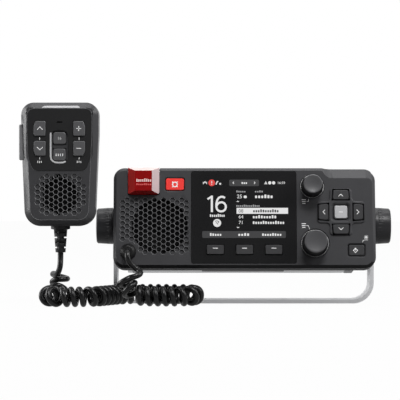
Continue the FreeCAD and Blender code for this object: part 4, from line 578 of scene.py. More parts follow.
def softened(corners, radius, inset=0.0, steps=4):
    """Counter-clockwise corners, moved in by the inset and then rounded, one radius or a list."""
    count = len(corners)
    radii = radius if isinstance(radius, list) else [radius] * count
    spots = [Vector(corner) for corner in corners]
    ways = [(spots[(k + 1) % count] - spots[k]).normalized() for k in range(count)]
    inward = [Vector((-way.y, way.x)) for way in ways]
    points = []
    for k in range(count):
        both = inward[k - 1] + inward[k]
        corner = spots[k] + both * (inset / (1 + inward[k - 1].dot(inward[k])))
        turn = math.atan2(ways[k - 1].cross(ways[k]), ways[k - 1].dot(ways[k]))
        bend = radii[k] if turn > 0 else -radii[k]
        start = corner - ways[k - 1] * abs(bend * math.tan(turn / 2))
        centre = start + inward[k - 1] * bend
        for step in range(steps + 1):
            spoke = Matrix.Rotation(turn * step / steps, 2) @ (start - centre)
            points.append(tuple(centre + spoke))
    return points


def box_corners(x, w, width, height):
    return [(x - width / 2, w - height / 2), (x + width / 2, w - height / 2),
            (x + width / 2, w + height / 2), (x - width / 2, w + height / 2)]


class Form:
    """A mesh put together in millimetres, x to the right, y into the face and w up it."""

    def __init__(self):
        self.mesh = bmesh.new()

    def loft(self, levels, finish=0, capped=True, looped=False):
        """Skins outlines of as many points each, or of a single one, from the front one back."""
        rings = [[self.mesh.verts.new((x, y, w)) for x, w in outline] for outline, y in levels]
        faces = []
        for front, back in zip(rings, rings[1:] + rings[:1] if looped else rings[1:]):
            for k in range(max(len(front), len(back))):
                corners = (front[(k + 1) % len(front)], front[k % len(front)],
                           back[k % len(back)], back[(k + 1) % len(back)])
                faces.append(self.mesh.faces.new(list(dict.fromkeys(corners))))
        faces += [self.mesh.faces.new(ring) for ring in (rings[0], rings[-1][::-1])
                  if capped and len(ring) > 1]
        for face in faces:
            face.material_index = finish
        return self

    def slab(self, outline, front, back, finish=0):
        return self.loft([(outline, front), (outline, back)], finish)

    def stroke(self, points, width, front, finish=0, thick=0.08, closed=False):
        """A line of ink or a fine rib that stands on the plane just behind its front."""
        spots = [Vector(point) for point in points]
        last = len(spots) - 1
        left, right = [], []
        for k, spot in enumerate(spots):
            before = spots[k - 1] if k or closed else spot
            after = spots[k - last] if k < last or closed else spot
            first = (spot - before).normalized() if before != spot else None
            second = (after - spot).normalized() if after != spot else first
            first = first or second
            over = Vector((-first.y - second.y, first.x + second.x)).normalized()
            spread = over * (width / 2 / max(0.5, over.dot(Vector((-first.y, first.x)))))
            left.append(tuple(spot + spread))
            right.append(tuple(spot - spread))
        back = front + thick
        if closed:
            return self.loft([(right, front), (right, back), (left, back), (left, front)], finish,
                             capped=False, looped=True)
        return self.slab(right + left[::-1], front, back, finish)

    def text(self, words, x, w, height, front, finish=0, thick=0.08):
        """Figures centred on a place, whose height is that of a figure."""
        curve = bpy.data.curves.new(words, "FONT")
        curve.body = words
        curve.size = height / FIGURE_SHARE
        curve.align_x = "CENTER"
        curve.extrude = thick / 2
        curve.resolution_u = 3
        mesh = mesh_from(curve)
        mesh.transform(Matrix.Translation((x, front + thick / 2, w - height / 2)) @ UPRIGHT)
        before = len(self.mesh.faces)
        self.mesh.from_mesh(mesh)
        self.mesh.faces.ensure_lookup_table()
        for face in self.mesh.faces[before:]:
            face.material_index = finish
        bpy.data.meshes.remove(mesh)

    def turned(self, profile, x, w, sides=64, finish=0, capped=True):
        """A profile of radius and y turned about a place on the face, from the front back."""
        spokes = [(math.cos(2 * math.pi * k / sides), math.sin(2 * math.pi * k / sides))
                  for k in range(sides)]
        return self.loft([([(x + radius * across, w + radius * up)
                            for across, up in (spokes if radius else spokes[:1])], y)
                          for radius, y in profile], finish, capped)

    def made(self, name, place, *finishes):
        """The object, with its place in the model in its mesh."""
        mesh = bpy.data.meshes.new(name)
        bmesh.ops.remove_doubles(self.mesh, verts=self.mesh.verts, dist=FORM_WELD)
        bmesh.ops.recalc_face_normals(self.mesh, faces=self.mesh.faces)
        self.mesh.to_mesh(mesh)
        self.mesh.free()
        mesh.transform(place @ MILLIMETRES)
        for finish in finishes:
            mesh.materials.append(finish.material)
        return smoothed(placed(name, mesh))


def honeycomb_block(cells, face, depth, place):
    """All the cells' hexagons as one solid, to cut the honeycomb's pocket with."""
    form = Form()
    block = form.mesh
    front = face - 1.0
    reach = HEX_PITCH / math.sqrt(3)
    for x, w in cells:
        block.faces.new([block.verts.new((x + reach * math.cos(math.radians(60 * k)), front,
                                          w + reach * math.sin(math.radians(60 * k))))
                         for k in range(6)])
    bmesh.ops.remove_doubles(block, verts=block.verts, dist=HEX_WELD)
    pushed = bmesh.ops.extrude_face_region(block, geom=block.faces[:], use_keep_orig=True)
    moved = [part for part in pushed["geom"] if isinstance(part, bmesh.types.BMVert)]
    bmesh.ops.translate(block, verts=moved, vec=(0, face + depth - front, 0))
    return form.made("honeycomb_block", place)


def carved(piece, finish, *tools):
    """The piece in that finish with each tool's solid taken out. The tools are used up."""
    for tool in tools:
        modifier = piece.modifiers.new("cut", "BOOLEAN")
        modifier.operation = "DIFFERENCE"
        modifier.solver = "EXACT"
        modifier.object = tool
    settled(piece, False)
    piece.data.materials.clear()
    piece.data.materials.append(finish.material)
    for tool in tools:
        bpy.data.objects.remove(tool)
    return piece


grille_cells = []
column = 0
while GRILLE_LEFT + column * HEX_PITCH * HEX_COLUMN <= GRILLE_RIGHT + 0.01:
    x = GRILLE_LEFT + column * HEX_PITCH * HEX_COLUMN
    w = GRILLE_TOP - (0.0 if column % 2 else HEX_PITCH / 2)
    while w >= GRILLE_LOW - 0.01:
        if math.hypot(x - GROMMET[0], w - GROMMET[1]) > GROMMET_ROOM:
            grille_cells.append((x, w))
        w -= HEX_PITCH
    column += 1
opening_tool = Form().turned([(SPEAKER_OPENING, FACE + 0.5), (SPEAKER_OPENING, FACE + 4.2)],
                             SPEAKER[0] - OPENING_LEFT, SPEAKER[1]).made("opening_tool", RADIO)
fascia = carved(
    welded("fascia", "fascia_moulding"),
    moulded("fascia_abs", (65, 65, 67), 0.44, 0.00035, 0.000012, 0.18, 0),
    honeycomb_block(grille_cells, FACE, HEX_DEPTH, RADIO), opening_tool)

# A narrow ring round the sloping facet on top keeps the facet itself flat in its shading.
whole = bmesh.new()
whole.from_mesh(fascia.data)
slopes = [face for face in whole.faces if face.calc_area() > 0.00005
          and (LEVEL @ face.normal).z > 0.5 and abs((LEVEL @ face.normal).x) < 0.1]
bmesh.ops.inset_individual(whole, faces=slopes, thickness=FACET_FRAME)
whole.to_mesh(fascia.data)
whole.free()
# Faces that look down, low on the face, take a near-black finish: painted shade on the underside of
# the same grey moulding.
fascia.data.materials.append(
    moulded("fascia_lip", (30, 30, 31), 0.5, 0.00035, 0.000012, 0.12, 0).material)
for face in fascia.data.polygons:
    if (LEVEL @ face.normal).z < -0.35 and face.center.z < PAINTED_SHADE_TOP:
        face.material_index = 1
stands_for(smoothed(fascia), "fascia")


# Speaker grille: a honeycomb moulded in one with the fascia. Its cells are open over the black
# paper cone, which shows through them, and blind all round it.
CELL_WELD = 0.02
comb = Making("honeycomb", Pitch="Float", Opening="Float", Edge="Float", Depth="Float",
              Finish="Material")
pitch, opening, edge, depth = map(comb.given, ("Pitch", "Opening", "Edge", "Depth"))
wide = opening + edge * 2.0
cell = comb.node("GeometryNodeMeshCircle", {"Vertices": 6, "Radius": pitch / math.sqrt(3)},
                 fill_type="NGON")
spread_out = comb.node("GeometryNodeInstanceOnPoints", {
    "Points": comb.given("Geometry"), "Instance": cell})
sheet = comb.node("GeometryNodeMergeByDistance", {
    "Geometry": comb.node("GeometryNodeRealizeInstances", [spread_out]), "Distance": CELL_WELD})
lonely = comb.node("FunctionNodeCompare", {
    2: comb.node("GeometryNodeInputMeshEdgeNeighbors"), 3: 1}, data_type="INT", operation="EQUAL")
downward = comb.node("ShaderNodeCombineXYZ", {"Z": depth * -1.0})
shape = comb.node("GeometryNodeExtrudeMesh", {
    "Mesh": sheet, "Selection": lonely, "Offset": downward, "Offset Scale": 1.0}, mode="EDGES")
facing = comb.node("ShaderNodeSeparateXYZ", [comb.node("GeometryNodeInputNormal")])
chosen = comb.node("FunctionNodeCompare", {0: facing.out("Z"), 1: 0.5}, data_type="FLOAT",
                   operation="GREATER_THAN")
for sink, scale in ((0.0, wide / pitch), (edge * -1.0, opening / wide), (edge - depth, 1.0),
                    (0.0, pitch / opening)):
    lowered = comb.node("ShaderNodeCombineXYZ", {"Z": sink})
    pressed = comb.node("GeometryNodeExtrudeMesh", {
        "Mesh": shape, "Selection": chosen, "Offset": lowered, "Offset Scale": 1.0,
        "Individual": True}, mode="FACES")
    chosen = pressed.out("Top")
    shape = comb.node("GeometryNodeScaleElements", {
        "Geometry": pressed, "Selection": chosen, "Scale": scale}, domain="FACE")
pierced = comb.node("GeometryNodeDeleteGeometry", {"Geometry": shape, "Selection": chosen},
                    domain="FACE")
comb.ends(comb.node("GeometryNodeMergeByDistance", {"Geometry": pierced, "Distance": CELL_WELD}))
# A lighter grey than the fascia's, though the honeycomb is the same moulding: painted highlight on
# the lit rims of its cells.
comb_highlight_finish = moulded("fascia_comb", (98, 98, 100), 0.36, 0.00035, 0.000008, 0.5, 0)


def stood_up(piece, x, y, w, place):
    """The object, whose flat mesh in millimetres is stood up at that place on the face."""
    piece.data.transform(place @ MILLIMETRES @ (Matrix.Translation((x, y, w)) @ UPRIGHT))
    return piece


def honeycomb(name, cells, depth, face, place):
    """A pierced plate with a hexagon cell round every centre, set with its front at the face."""
    piece = comb.make(name, mesh_of(name, [(x, w, 0.0) for x, w in cells]), Pitch=HEX_PITCH,
                      Opening=HEX_FLATS, Edge=HEX_EDGE, Depth=depth, Finish=comb_highlight_finish.material)
    return stood_up(piece, 0, face, 0, place)


def added(piece, body):
    """A piece that only the scene has, on that body."""
    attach(piece, body)


def shaped(form, place, node, slot, *finishes):
    """The form as the piece that is shown instead of a CAD node."""
    stands_for(form.made(node + "_piece", place, *finishes), node)


added(honeycomb("speaker_grille", grille_cells, HEX_DEPTH, FACE, RADIO), "radio")
CONE = ((0.0, 5.3), (4.0, 5.6), (7.0, 7.2), (18.0, 4.6), (19.2, 3.9), (20.6, 4.4), (20.6, 5.0),
        (18.0, 5.4), (7.0, 8.0), (0.0, 8.0))
cone = Form().turned([(radius, FACE + behind) for radius, behind in CONE], *SPEAKER, capped=False)
shaped(cone, RADIO, "speaker_cone", "paper_cone",
       moulded("cone_paper", (8, 8, 9), 0.6, 0.0006, 0.00004, 0.1, 0))


# Base plate: a satin aluminium sheet glued under the housing. A long near-black strip on it is
# painted shade in place of a slot. It shows below the housing, because the face is tilted up.
PLATE_SHAPE = box_corners(-5.5, 12.25, 181.0, 64.5)
SLOT_SHAPE = box_corners(0.25, 30.0, 68.3, 8.0)
PLATE_TOP = 32.6
PLATE_LOW = 33.9
LOOK_UP = RADIO @ Matrix.Rotation(math.radians(-90), 4, "X")
plate_finish = clouded("plate_satin", (204, 205, 207), (220, 221, 223), 0.34, 0.1, 0.004, 2.0,
                       Metallic=0.75)
base = Form().slab(softened(PLATE_SHAPE, 3.0), PLATE_TOP, PLATE_LOW)
base.slab(softened(SLOT_SHAPE, 1.0), PLATE_LOW - 0.3, PLATE_LOW + 0.06, 1)
added(base.made("base_plate", LOOK_UP, plate_finish, moulded("slot_dark", (20, 20, 21), 0.5)),
      "radio")


# Display: a hard-coated acrylic window printed black from behind and glued flush into the face.
# What the bright panel under it shows is laid on as thin glowing figures: plain numbers, bars.
window_finish = clouded("window_acrylic", (24, 24, 25), (30, 30, 31), 0.20, 0.05, 0.03,
                        IOR=1.49, Specular_IOR_Level=0.5)
skinned(window_finish, "display_glass", "display_window")


def lit(name, colour, strength):
    """A glowing part of the display's picture, a little uneven as a backlight is."""
    finish = Finish(name, Roughness=0.3, Emission_Strength=strength)
    cloud = finish.noise(0.02, 2.0)
    finish.varies(cloud, linear(*colour, 0.94), linear(*colour), "Emission Color")
    return finish.varies(cloud, (0.02, 0.02, 0.02, 1), (0.03, 0.03, 0.03, 1))


WHITE, GREY, BAR, RED, DARK = range(5)
SCREEN_FINISHES = [
    lit("screen_white", (244, 244, 244), 0.86), lit("screen_grey", (172, 172, 174), 0.8),
    lit("screen_bar", (58, 58, 60), 0.75), lit("screen_red", (236, 66, 60), 0.85),
    lit("screen_dark", (40, 40, 42), 0.6)]
SCREEN = FACE - 0.05
OVER = FACE - 0.10
BEHIND = FACE + 0.02


def word_bar(form, finish, front, back, x, w, width, height, letters):
    """A greeked word: as many short upright bars as it has letters."""
    step = width / letters
    for k in range(letters):
        tall = height * (1.0, 0.72, 0.72, 0.86, 0.72)[(k * 3 + letters) % 5]
        bar = box_corners(x + k * step + step * 0.42, w - (height - tall) / 2, step * 0.66, tall)
        form.slab(softened(bar, step * 0.16, 0.0, 2), front, back, finish)


# Patches in order: the red disc and its dot, a mark, the mode pill, two level marks, the round
# mark under the channel, the picked row of the list and the soft keys' bar.
screen = Form()
for finish, front, back, radius, steps, x, w, width, height in (
        (RED, SCREEN, BEHIND, 2.69, 8, -26.2, 29.2, 5.4, 5.4),
        (WHITE, OVER, FACE, 0.34, 3, -26.2, 27.9, 0.7, 0.7),
        (WHITE, SCREEN, BEHIND, 0.5, 3, -19.4, 28.4, 1.5, 1.5),
        (BAR, SCREEN, BEHIND, 1.1, 4, -0.2, 29.15, 24.0, 5.3),
        (WHITE, SCREEN, BEHIND, 1.29, 6, 20.4, 29.2, 2.6, 2.6),
        (WHITE, SCREEN, BEHIND, 1.29, 6, 23.5, 29.2, 2.6, 2.6),
        (WHITE, SCREEN, BEHIND, 3.19, 10, -21.9, -3.3, 6.4, 6.4),
        (WHITE, SCREEN, BEHIND, 0.2, 4, 14.3, 6.5, 41.2, 4.8),
        (BAR, SCREEN, BEHIND, 1.0, 4, -0.4, -12.65, 66.9, 5.5)):
    screen.slab(softened(box_corners(x, w, width, height), radius, 0.0, steps), front, back,
                finish)

# Strokes: the status line's icons and arrows, the large channel number 16 with its round-ended
# figures, the sign in the round mark, and the list's arrows.
screen.stroke([(16.4, 28.4), (17.2, 30.0), (18.0, 28.4)], 0.55, SCREEN, WHITE, closed=True)
for finish, front, width, *points in (
        (WHITE, SCREEN, 0.55, (-33.2, 28.2), (-31.6, 30.2), (-30.0, 28.2)),
        (WHITE, SCREEN, 0.45, (-33.4, 29.6), (-29.8, 29.6)),
        (WHITE, OVER, 0.6, (-26.2, 30.6), (-26.2, 28.8)),
        (WHITE, SCREEN, 0.9, (-22.8, 27.8), (-22.0, 29.9), (-21.0, 30.4)),
        (WHITE, OVER, 0.5, (-8.4, 30.1), (-9.2, 29.2), (-8.4, 28.3)),
        (WHITE, OVER, 0.5, (7.8, 30.1), (8.6, 29.2), (7.8, 28.3)),
        (WHITE, SCREEN, 1.5, (-29.6, 15.9), (-26.0, 18.2)),
        (WHITE, SCREEN, 1.7, (-26.1, 18.8), (-26.1, 5.5)),
        (WHITE, SCREEN, 1.6, (-15.6, 16.9), (-17.0, 17.8), (-18.8, 17.9), (-20.6, 17.0),
         (-21.9, 15.0), (-22.5, 12.2), (-22.5, 9.8), (-22.0, 7.8), (-20.7, 6.5), (-18.9, 6.0),
         (-17.1, 6.3), (-15.6, 7.4), (-14.9, 9.2), (-15.1, 11.1), (-16.2, 12.7), (-18.0, 13.5),
         (-20.0, 13.2), (-21.5, 12.0), (-22.4, 10.3)),
        (DARK, OVER, 0.5, (-23.6, -2.0), (-21.9, -1.6), (-20.6, -2.2), (-20.7, -3.4)),
        (DARK, OVER, 0.5, (-23.0, -3.4), (-22.0, -3.1), (-21.2, -4.6)),
        (WHITE, SCREEN, 0.55, (-6.2, 13.8), (-5.3, 14.4), (-4.4, 13.8)),
        (WHITE, SCREEN, 0.55, (-6.1, -6.6), (-5.2, -7.2), (-4.3, -6.6))):
    screen.stroke(points, width, front, finish)

# Words as place, size and letters, by finish: the mode, the soft keys' captions, the channel's
# caption, the two settings and their captions, and the list. Then the time and the numbers.
for finish, front, words in (
        (WHITE, OVER, ((-2.4, 29.2, 4.9, 1.9, 3), (-27.8, -12.6, 9.7, 2.3, 5),
                       (-5.2, -12.6, 9.4, 2.3, 4), (13.9, -12.6, 16.0, 2.3, 8))),
        (WHITE, SCREEN, ((-27.8, 2.8, 12.3, 2.4, 8), (-0.9, 18.2, 3.7, 2.9, 1),
                         (8.3, 18.2, 14.9, 2.9, 6), (6.5, 1.7, 19.4, 2.5, 9),
                         (6.5, -2.9, 25.7, 2.5, 13))),
        (GREY, SCREEN, ((-6.6, 22.2, 7.8, 1.6, 5), (8.3, 22.2, 6.9, 1.6, 4),
                        (-6.6, 10.6, 19.1, 1.7, 13))),
        (DARK, OVER, ((6.8, 6.5, 20.9, 2.5, 11),))):
    for word in words:
        word_bar(screen, finish, front, BEHIND, *word)
for words, x, w, height, front, finish in (
        ("16:59", 29.6, 29.2, 2.0, SCREEN, WHITE), ("25", -3.9, 18.2, 3.0, SCREEN, WHITE),
        ("08", -2.8, 6.45, 2.8, OVER, DARK), ("64", -2.8, 1.7, 2.7, SCREEN, WHITE),
        ("71", -2.8, -2.9, 2.7, SCREEN, WHITE)):
    screen.text(words, x, w, height, front, finish, 0.06)
added(screen.made("screen_picture", RADIO, *SCREEN_FINISHES), "radio")


# Soft keys, arrow keys and the power key: silicone rubber caps on one mat, each with its sign
# printed in white. Their shoulders slope, and the straight skirt under each shoulder is near
# black, painted shade, so a dark gap shows round each.
KEY_SINK = 2.5
PAD = (77.1, 5.4)
ARROW_SHAPE = ((9.6, -7.2), (18.2, -6.4), (18.2, 6.4), (9.6, 7.2))
ARROW_SIGN = ((12.6, -1.8), (14.4, 0.0), (12.6, 1.8))
key_finish = moulded("key_rubber", (48, 48, 50), 0.46, edge=0)
sign_finish = moulded("white_ink", (250, 250, 250), 0.5, 0.0005, 0.000003)
shade_finish = moulded("key_shoulder", (22, 22, 23), 0.5)


def key_cap(corners, proud, corner, shoulder, fall):
    """A rubber key: straight skirt in painted shade, sloped shoulder, top face with a soft edge."""
    top = FACE - proud
    levels = [(softened(corners, corner - 0.4, shoulder + 0.25), top),
              (softened(corners, corner - 0.4, shoulder), top + 0.05),
              (softened(corners, corner - 0.2, shoulder - 0.15), top + 0.2),
              (softened(corners, corner, 0.1), top + fall)]
    form = Form().loft(levels, 0, capped=False)
    form.mesh.faces.new(form.mesh.verts[:len(levels[0][0])])
    return form.loft([levels[-1], (softened(corners, corner), FACE + KEY_SINK)], 2, capped=False)


def finished_key(form, node, finish, slot="key_rubber"):
    shaped(form, RADIO, node, slot, finish, sign_finish, shade_finish)


for node, x in (("soft_key_left", -23.4), ("soft_key_middle", 0.0), ("soft_key_right", 23.4)):
    cap = key_cap(box_corners(x, -24.8, 13.6, 7.6), 1.0, 0.9, 0.3, 0.7)
    cap.stroke([(x - 1.9, -23.8), (x + 1.9, -23.8)], 0.62, FACE - 1.08, 1)
    finished_key(cap, node, key_finish)

for quarter, node in enumerate(("right_key", "up_key", "left_key", "down_key")):
    turn = Matrix.Rotation(math.radians(90 * quarter), 2)
    outline, arrow = ([tuple(Vector(PAD) + turn @ Vector(point)) for point in points]
                      for points in (ARROW_SHAPE, ARROW_SIGN))
    cap = key_cap(outline, 1.6, 1.7, 0.85, 1.3)
    finished_key(cap.stroke(arrow, 0.48, FACE - 1.68, 1), node, key_finish)

cap = key_cap(box_corners(89.4, -25.3, 13.2, 9.2), 0.1, 1.7, 0.9, 0.9)
cap.stroke([(88.5, -23.6), (86.8, -25.4), (88.5, -27.2), (90.2, -25.4)], 0.5, FACE - 0.18, 1,
           closed=True)
cap.stroke([(88.5, -24.0), (88.5, -25.6)], 0.55, FACE - 0.2, 1)
finished_key(cap, "power_key", key_finish)
cap = key_cap(box_corners(*PAD, 10.8, 10.8), 0.9, 1.5, 0.7, 1.0)
cap.stroke([(75.5, 5.4), (78.7, 5.4)], 0.6, FACE - 0.98, 1)
finished_key(cap, "ok_key", moulded("ok_key_grey", (182, 182, 184), 0.42), "ok_rubber")


# Signs printed on the fascia in white ink: a small mark and a leader line at each rotary knob
# and at the power key.
INK = FACE - 0.04
signs = Form()
for x, w in ((47.6, 14.0), (47.4, -5.4)):
    for rise, width in ((1.5, 3.4), (0.0, 3.0), (-1.5, 2.6)):
        signs.stroke([(x - width / 2, w + rise), (x + width / 2, w + rise)], 0.62, INK, 0, 0.05)
for leader in (((49.8, 14.1), (51.4, 14.1), (51.4, 16.3)),
               ((49.4, -5.5), (51.0, -5.5), (52.3, -8.6)),
               ((94.3, -19.0), (94.6, -17.6), (95.8, -17.0), (98.6, -17.0))):
    signs.stroke(leader, 0.34, INK, 0, 0.05)
for angle in range(0, 180, 45):
    ray = Matrix.Rotation(math.radians(angle), 2) @ Vector((1.7, 0))
    signs.stroke([(97.1 - ray.x, -14.8 - ray.y), (97.1 + ray.x, -14.8 + ray.y)], 0.4, INK, 0,
                 0.05)
added(signs.made("face_signs", RADIO, sign_finish), "radio")


# Rotary knobs: a rubber-coated cap with a dished top, on a knurled skirt that stands in a
# shallow round recess. The skirt is near black, painted shade on the knob's side, and a ring of
# fine bright dots round each recess is a painted highlight on its edge.
KNOB_TOP = FACE - 14.0
KNOB_SIDES = 72
knob_finish = moulded("knob_rubber", (77, 77, 79), 0.36, edge=0)
# The skirt's near-black is painted shade, and the white dots are a painted highlight.
skirt_shade_finish = moulded("knob_skirt", (18, 18, 19), 0.5, gloss=0.2, edge=0)
dot_highlight_finish = moulded("dots_ink", (245, 245, 246), 0.4, 0.0005, 0.000003)

knurls = Making("knurled_ring", Count="Int", Radius="Float", Tooth="Float", Height="Float",
                Finish="Material")
studs = knurls.node("GeometryNodeMeshCircle", {
    "Vertices": knurls.given("Count"), "Radius": knurls.given("Radius")})
tooth = knurls.node("GeometryNodeMeshCylinder", {
    "Vertices": 6, "Side Segments": 1, "Radius": knurls.given("Tooth"),
    "Depth": knurls.given("Height")}, fill_type="NGON")
knurls.ends(knurls.node("GeometryNodeInstanceOnPoints", {"Points": studs, "Instance": tooth}))


def ring_of(name, count, radius, tooth, height, x, y, w, finish):
    """Small round studs in a ring about a place on the radio's face."""
    piece = knurls.make(name, bpy.data.meshes.new(name), Count=count, Radius=radius,
                        Tooth=tooth, Height=height, Finish=finish.material)
    return stood_up(piece, x, y, w, RADIO)


def joined(name, *pieces):
    """The pieces as one object, with their finishes."""
    whole = bmesh.new()
    finishes = []
    for piece in pieces:
        start = len(whole.faces)
        whole.from_mesh(piece.data)
        whole.faces.ensure_lookup_table()
        for face in whole.faces[start:]:
            held = piece.data.materials[face.material_index]
            if held not in finishes:
                finishes.append(held)
            face.material_index = finishes.index(held)
    mesh = bpy.data.meshes.new(name)
    whole.to_mesh(mesh)
    whole.free()
    for held in finishes:
        mesh.materials.append(held)
    for piece in pieces:
        bpy.data.objects.remove(piece)
    return smoothed(placed(name, mesh))


for node, x, w, radius, skirt in (("volume_knob", 54.3, 26.3, 7.6, 8.6),
                                  ("channel_knob", 56.3, -19.7, 9.2, 10.2)):
    cap = Form().turned([
        (0.0, KNOB_TOP + 0.9), (radius * 0.45, KNOB_TOP + 0.72), (radius - 1.5, KNOB_TOP + 0.25),
        (radius - 0.75, KNOB_TOP), (radius - 0.25, KNOB_TOP + 0.25), (radius, KNOB_TOP + 0.9)],
        x, w, KNOB_SIDES, 0, capped=False)
    cap.turned([
        (radius, KNOB_TOP + 0.9), (radius + 0.35, FACE - 3.4), (radius + 0.55, FACE - 2.6),
        (skirt - 0.2, FACE - 2.1), (skirt - 0.2, FACE + 0.7), (3.05, FACE + 0.7),
        (3.05, KNOB_TOP + 3.0), (0.0, KNOB_TOP + 3.0)], x, w, KNOB_SIDES, 1, capped=False)
    body = cap.made("cap", RADIO, knob_finish, skirt_shade_finish)
    knurl = ring_of("knurl", int(skirt * 6), skirt - 0.25, 0.30, 2.6, x, FACE - 0.7, w,
                    skirt_shade_finish)
    stands_for(joined(node + "_piece", body, knurl), node)
    added(ring_of(node[:-5] + "_dots", int(skirt * 7), skirt + 0.6, 0.24, 0.16, x, FACE - 0.02,
                  w, dot_highlight_finish), "radio")


# Overboard button: red silicone with a lifebuoy printed on it. It lies deep in a bevelled
# recess, where a hand that brushes past doesn't press it.
BUOY = (-55.8, 27.9)


def round_buoy(angle, reach):
    return (BUOY[0] + reach * math.cos(math.radians(angle)),
            BUOY[1] + reach * math.sin(math.radians(angle)))


cap = key_cap(box_corners(-55.8, 28.0, 14.7, 9.8), 0.0, 1.4, 0.5, 0.5)
cap.stroke([round_buoy(30 * k, 1.9) for k in range(12)], 0.9, FACE - 0.08, 1, closed=True)
for angle in (45, 135, 225, 315):
    cap.stroke([round_buoy(angle, 2.3), round_buoy(angle, 3.2)], 0.6, FACE - 0.08, 1)
finished_key(cap, "overboard_button", moulded("button_red", (255, 60, 54), 0.38, 0.0004, 0.000008),
             "red_plastic")


# Distress button under its sprung cover: a red cap, and a cover moulded in clear red
# polycarbonate with bevelled sides and a pale strip of plain bars on its front. Each bevel has its
# own red, lighter or paler by how the light falls on it: painted light.
COVER_FRONT = FACE - 7.0
COVER_MIDDLE = 26.0
COVER_CHIN = 1.9
COVER_BACK = -0.0420
UNTILTED = RADIO.inverted()
# Painted light by face direction: the top bevel pale as a painted highlight, the right one pale as
# a painted reflection, the left and low ones in lighter reds.
COVER_SIDES = (
    ("cover_front", (186, 22, 24), 0.40, lambda n: True),
    ("cover_left", (244, 60, 56), 0.25, lambda n: n.x < -0.5 and n.y < -0.3),
    ("cover_top", (255, 222, 218), 0.05, lambda n: n.z > 0.5 and n.y < -0.2),
    ("cover_right", (220, 200, 202), 0.12, lambda n: n.x > 0.5 and n.y < -0.3),
    ("cover_low", (204, 28, 28), 0.25, lambda n: n.z < -0.3 and n.y < -0.2))
skinned(moulded("distress_red", (150, 16, 16), 0.4, 0.0004, 0.000008), "red_plastic",
        "distress_button")
cover = welded("distress_cover")
for vertex in cover.data.vertices:
    place = UNTILTED @ vertex.co
    if place.y * 1000 < COVER_FRONT + 0.05 and place.z * 1000 < COVER_MIDDLE:
        place.z -= COVER_CHIN / 1000
        vertex.co = RADIO @ place
for number, (name, tint, clear, faces_so) in enumerate(COVER_SIDES):
    side = Finish(name, Roughness=0.08, IOR=1.49, Transmission_Weight=clear,
                  Specular_IOR_Level=0.6)
    side.varies(side.noise(0.012, 2.0), linear(*[round(c * 0.86) for c in tint]), linear(*tint))
    cover.data.materials.append(side.material)
    for face in cover.data.polygons:
        if faces_so(LEVEL @ face.normal) and (UNTILTED @ face.center).y < COVER_BACK:
            face.material_index = number
stands_for(smoothed(cover), "distress_cover")
label = Form()
for number, w, height in ((0, 30.3, 2.7), (1, 27.0, 1.6)):
    word_bar(label, number, COVER_FRONT - 0.06, COVER_FRONT + 0.02, -86.6, w, 12.4, height, 8)
added(label.made("cover_label", RADIO,
                 moulded("cover_label", (244, 206, 204), 0.5, 0.0005, 0.000003),
                 moulded("cover_label_dim", (226, 92, 90), 0.5, 0.0005, 0.000003)),
      "distress_cover")


# Grommet in the face and boot under the handset: moulded soft rubber that keeps the cord from
# kinking where it goes in.
skinned(moulded("boot_rubber", (20, 20, 21), 0.44, 0.0006, 0.000014, 0.3, 0), "soft_rubber",
        "cord_grommet", "cord_boot")


# Clamp knobs: black glass-filled nylon with moulded ribs over a steel stud, which runs through
# the bracket's eye into the boss at each end of the radio.
skinned(moulded("clamp_nylon", (40, 40, 42), 0.36, 0.0005, 0.000012, 0.28, 0), "black_plastic",
        "left_clamp_knob", "right_clamp_knob")


# Handset: two ABS shells with a wide bevel round the front one, screwed together from behind,
# with a push-to-talk bar on the left side and a steel stud for the hanger. Heights are from its
# face, which lies at 0.
HANDSET = Matrix.Translation((-0.1472, -0.054, 0.1127))
BEVEL_TOP = Matrix.Translation((0, 0.0004, 0.0446)) @ Matrix.Rotation(math.radians(-45), 4, "X")
HAND_GRILLE = (0.8, -24.1)
HAND_COLUMNS = (4, 7, 8, 7, 8, 7, 8, 7, 8, 7, 4)
HAND_OPENING = 14.0
HAND_HEX_DEPTH = 0.9
HAND_SHAPE = ((-27.6, -49.2), (27.6, -49.2), (30.8, 25.0), (30.8, 49.2), (-30.8, 49.2),
              (-30.8, 25.0))
HAND_ROUNDS = [8.0, 8.0, 3.0, 5.0, 5.0, 3.0]
PANEL_SHAPE = ((-20.9, -5.4), (20.9, -5.4), (26.2, 9.6), (26.2, 44.4), (-26.2, 44.4),
               (-26.2, 9.6))
PANEL_ROUND = 5.5
RECESS_SHAPE = ((-22.7, -5.4), (22.7, -5.4), (26.2, 5.4), (26.2, 44.4), (-26.2, 44.4),
                (-26.2, 5.4))
RECESS_DEPTH = 1.35
TALK_SHAPE = box_corners(-30.0, 17.6, 5.2, 28.6)
shell_finish = moulded("handset_abs", (64, 64, 66), 0.33, gloss=0.26, edge=0)
hand_cells = [(HAND_GRILLE[0] + column * HEX_PITCH * HEX_COLUMN,
               HAND_GRILLE[1] + (k - (rows - 1) / 2) * HEX_PITCH)
              for column, rows in zip(range(-5, 6), HAND_COLUMNS) for k in range(rows)]
hand_hole = Form().turned([(HAND_OPENING, 0.4), (HAND_OPENING, 3.9)], HAND_GRILLE[0],
                          HAND_GRILLE[1] - 0.9).made("hand_hole", HANDSET)
front_shell = carved(welded("handset_front", "handset_front_shell"), shell_finish,
                     honeycomb_block(hand_cells, 0.0, HAND_HEX_DEPTH, HANDSET), hand_hole)
recess = softened(RECESS_SHAPE, 0.02)
rounded = softened(PANEL_SHAPE, PANEL_ROUND)
corners_filled = Form().loft(
    [(recess, 0.0), (recess, RECESS_DEPTH), (rounded, RECESS_DEPTH), (rounded, 0.12),
     (softened(PANEL_SHAPE, PANEL_ROUND, -0.12), 0.0)], capped=False, looped=True)
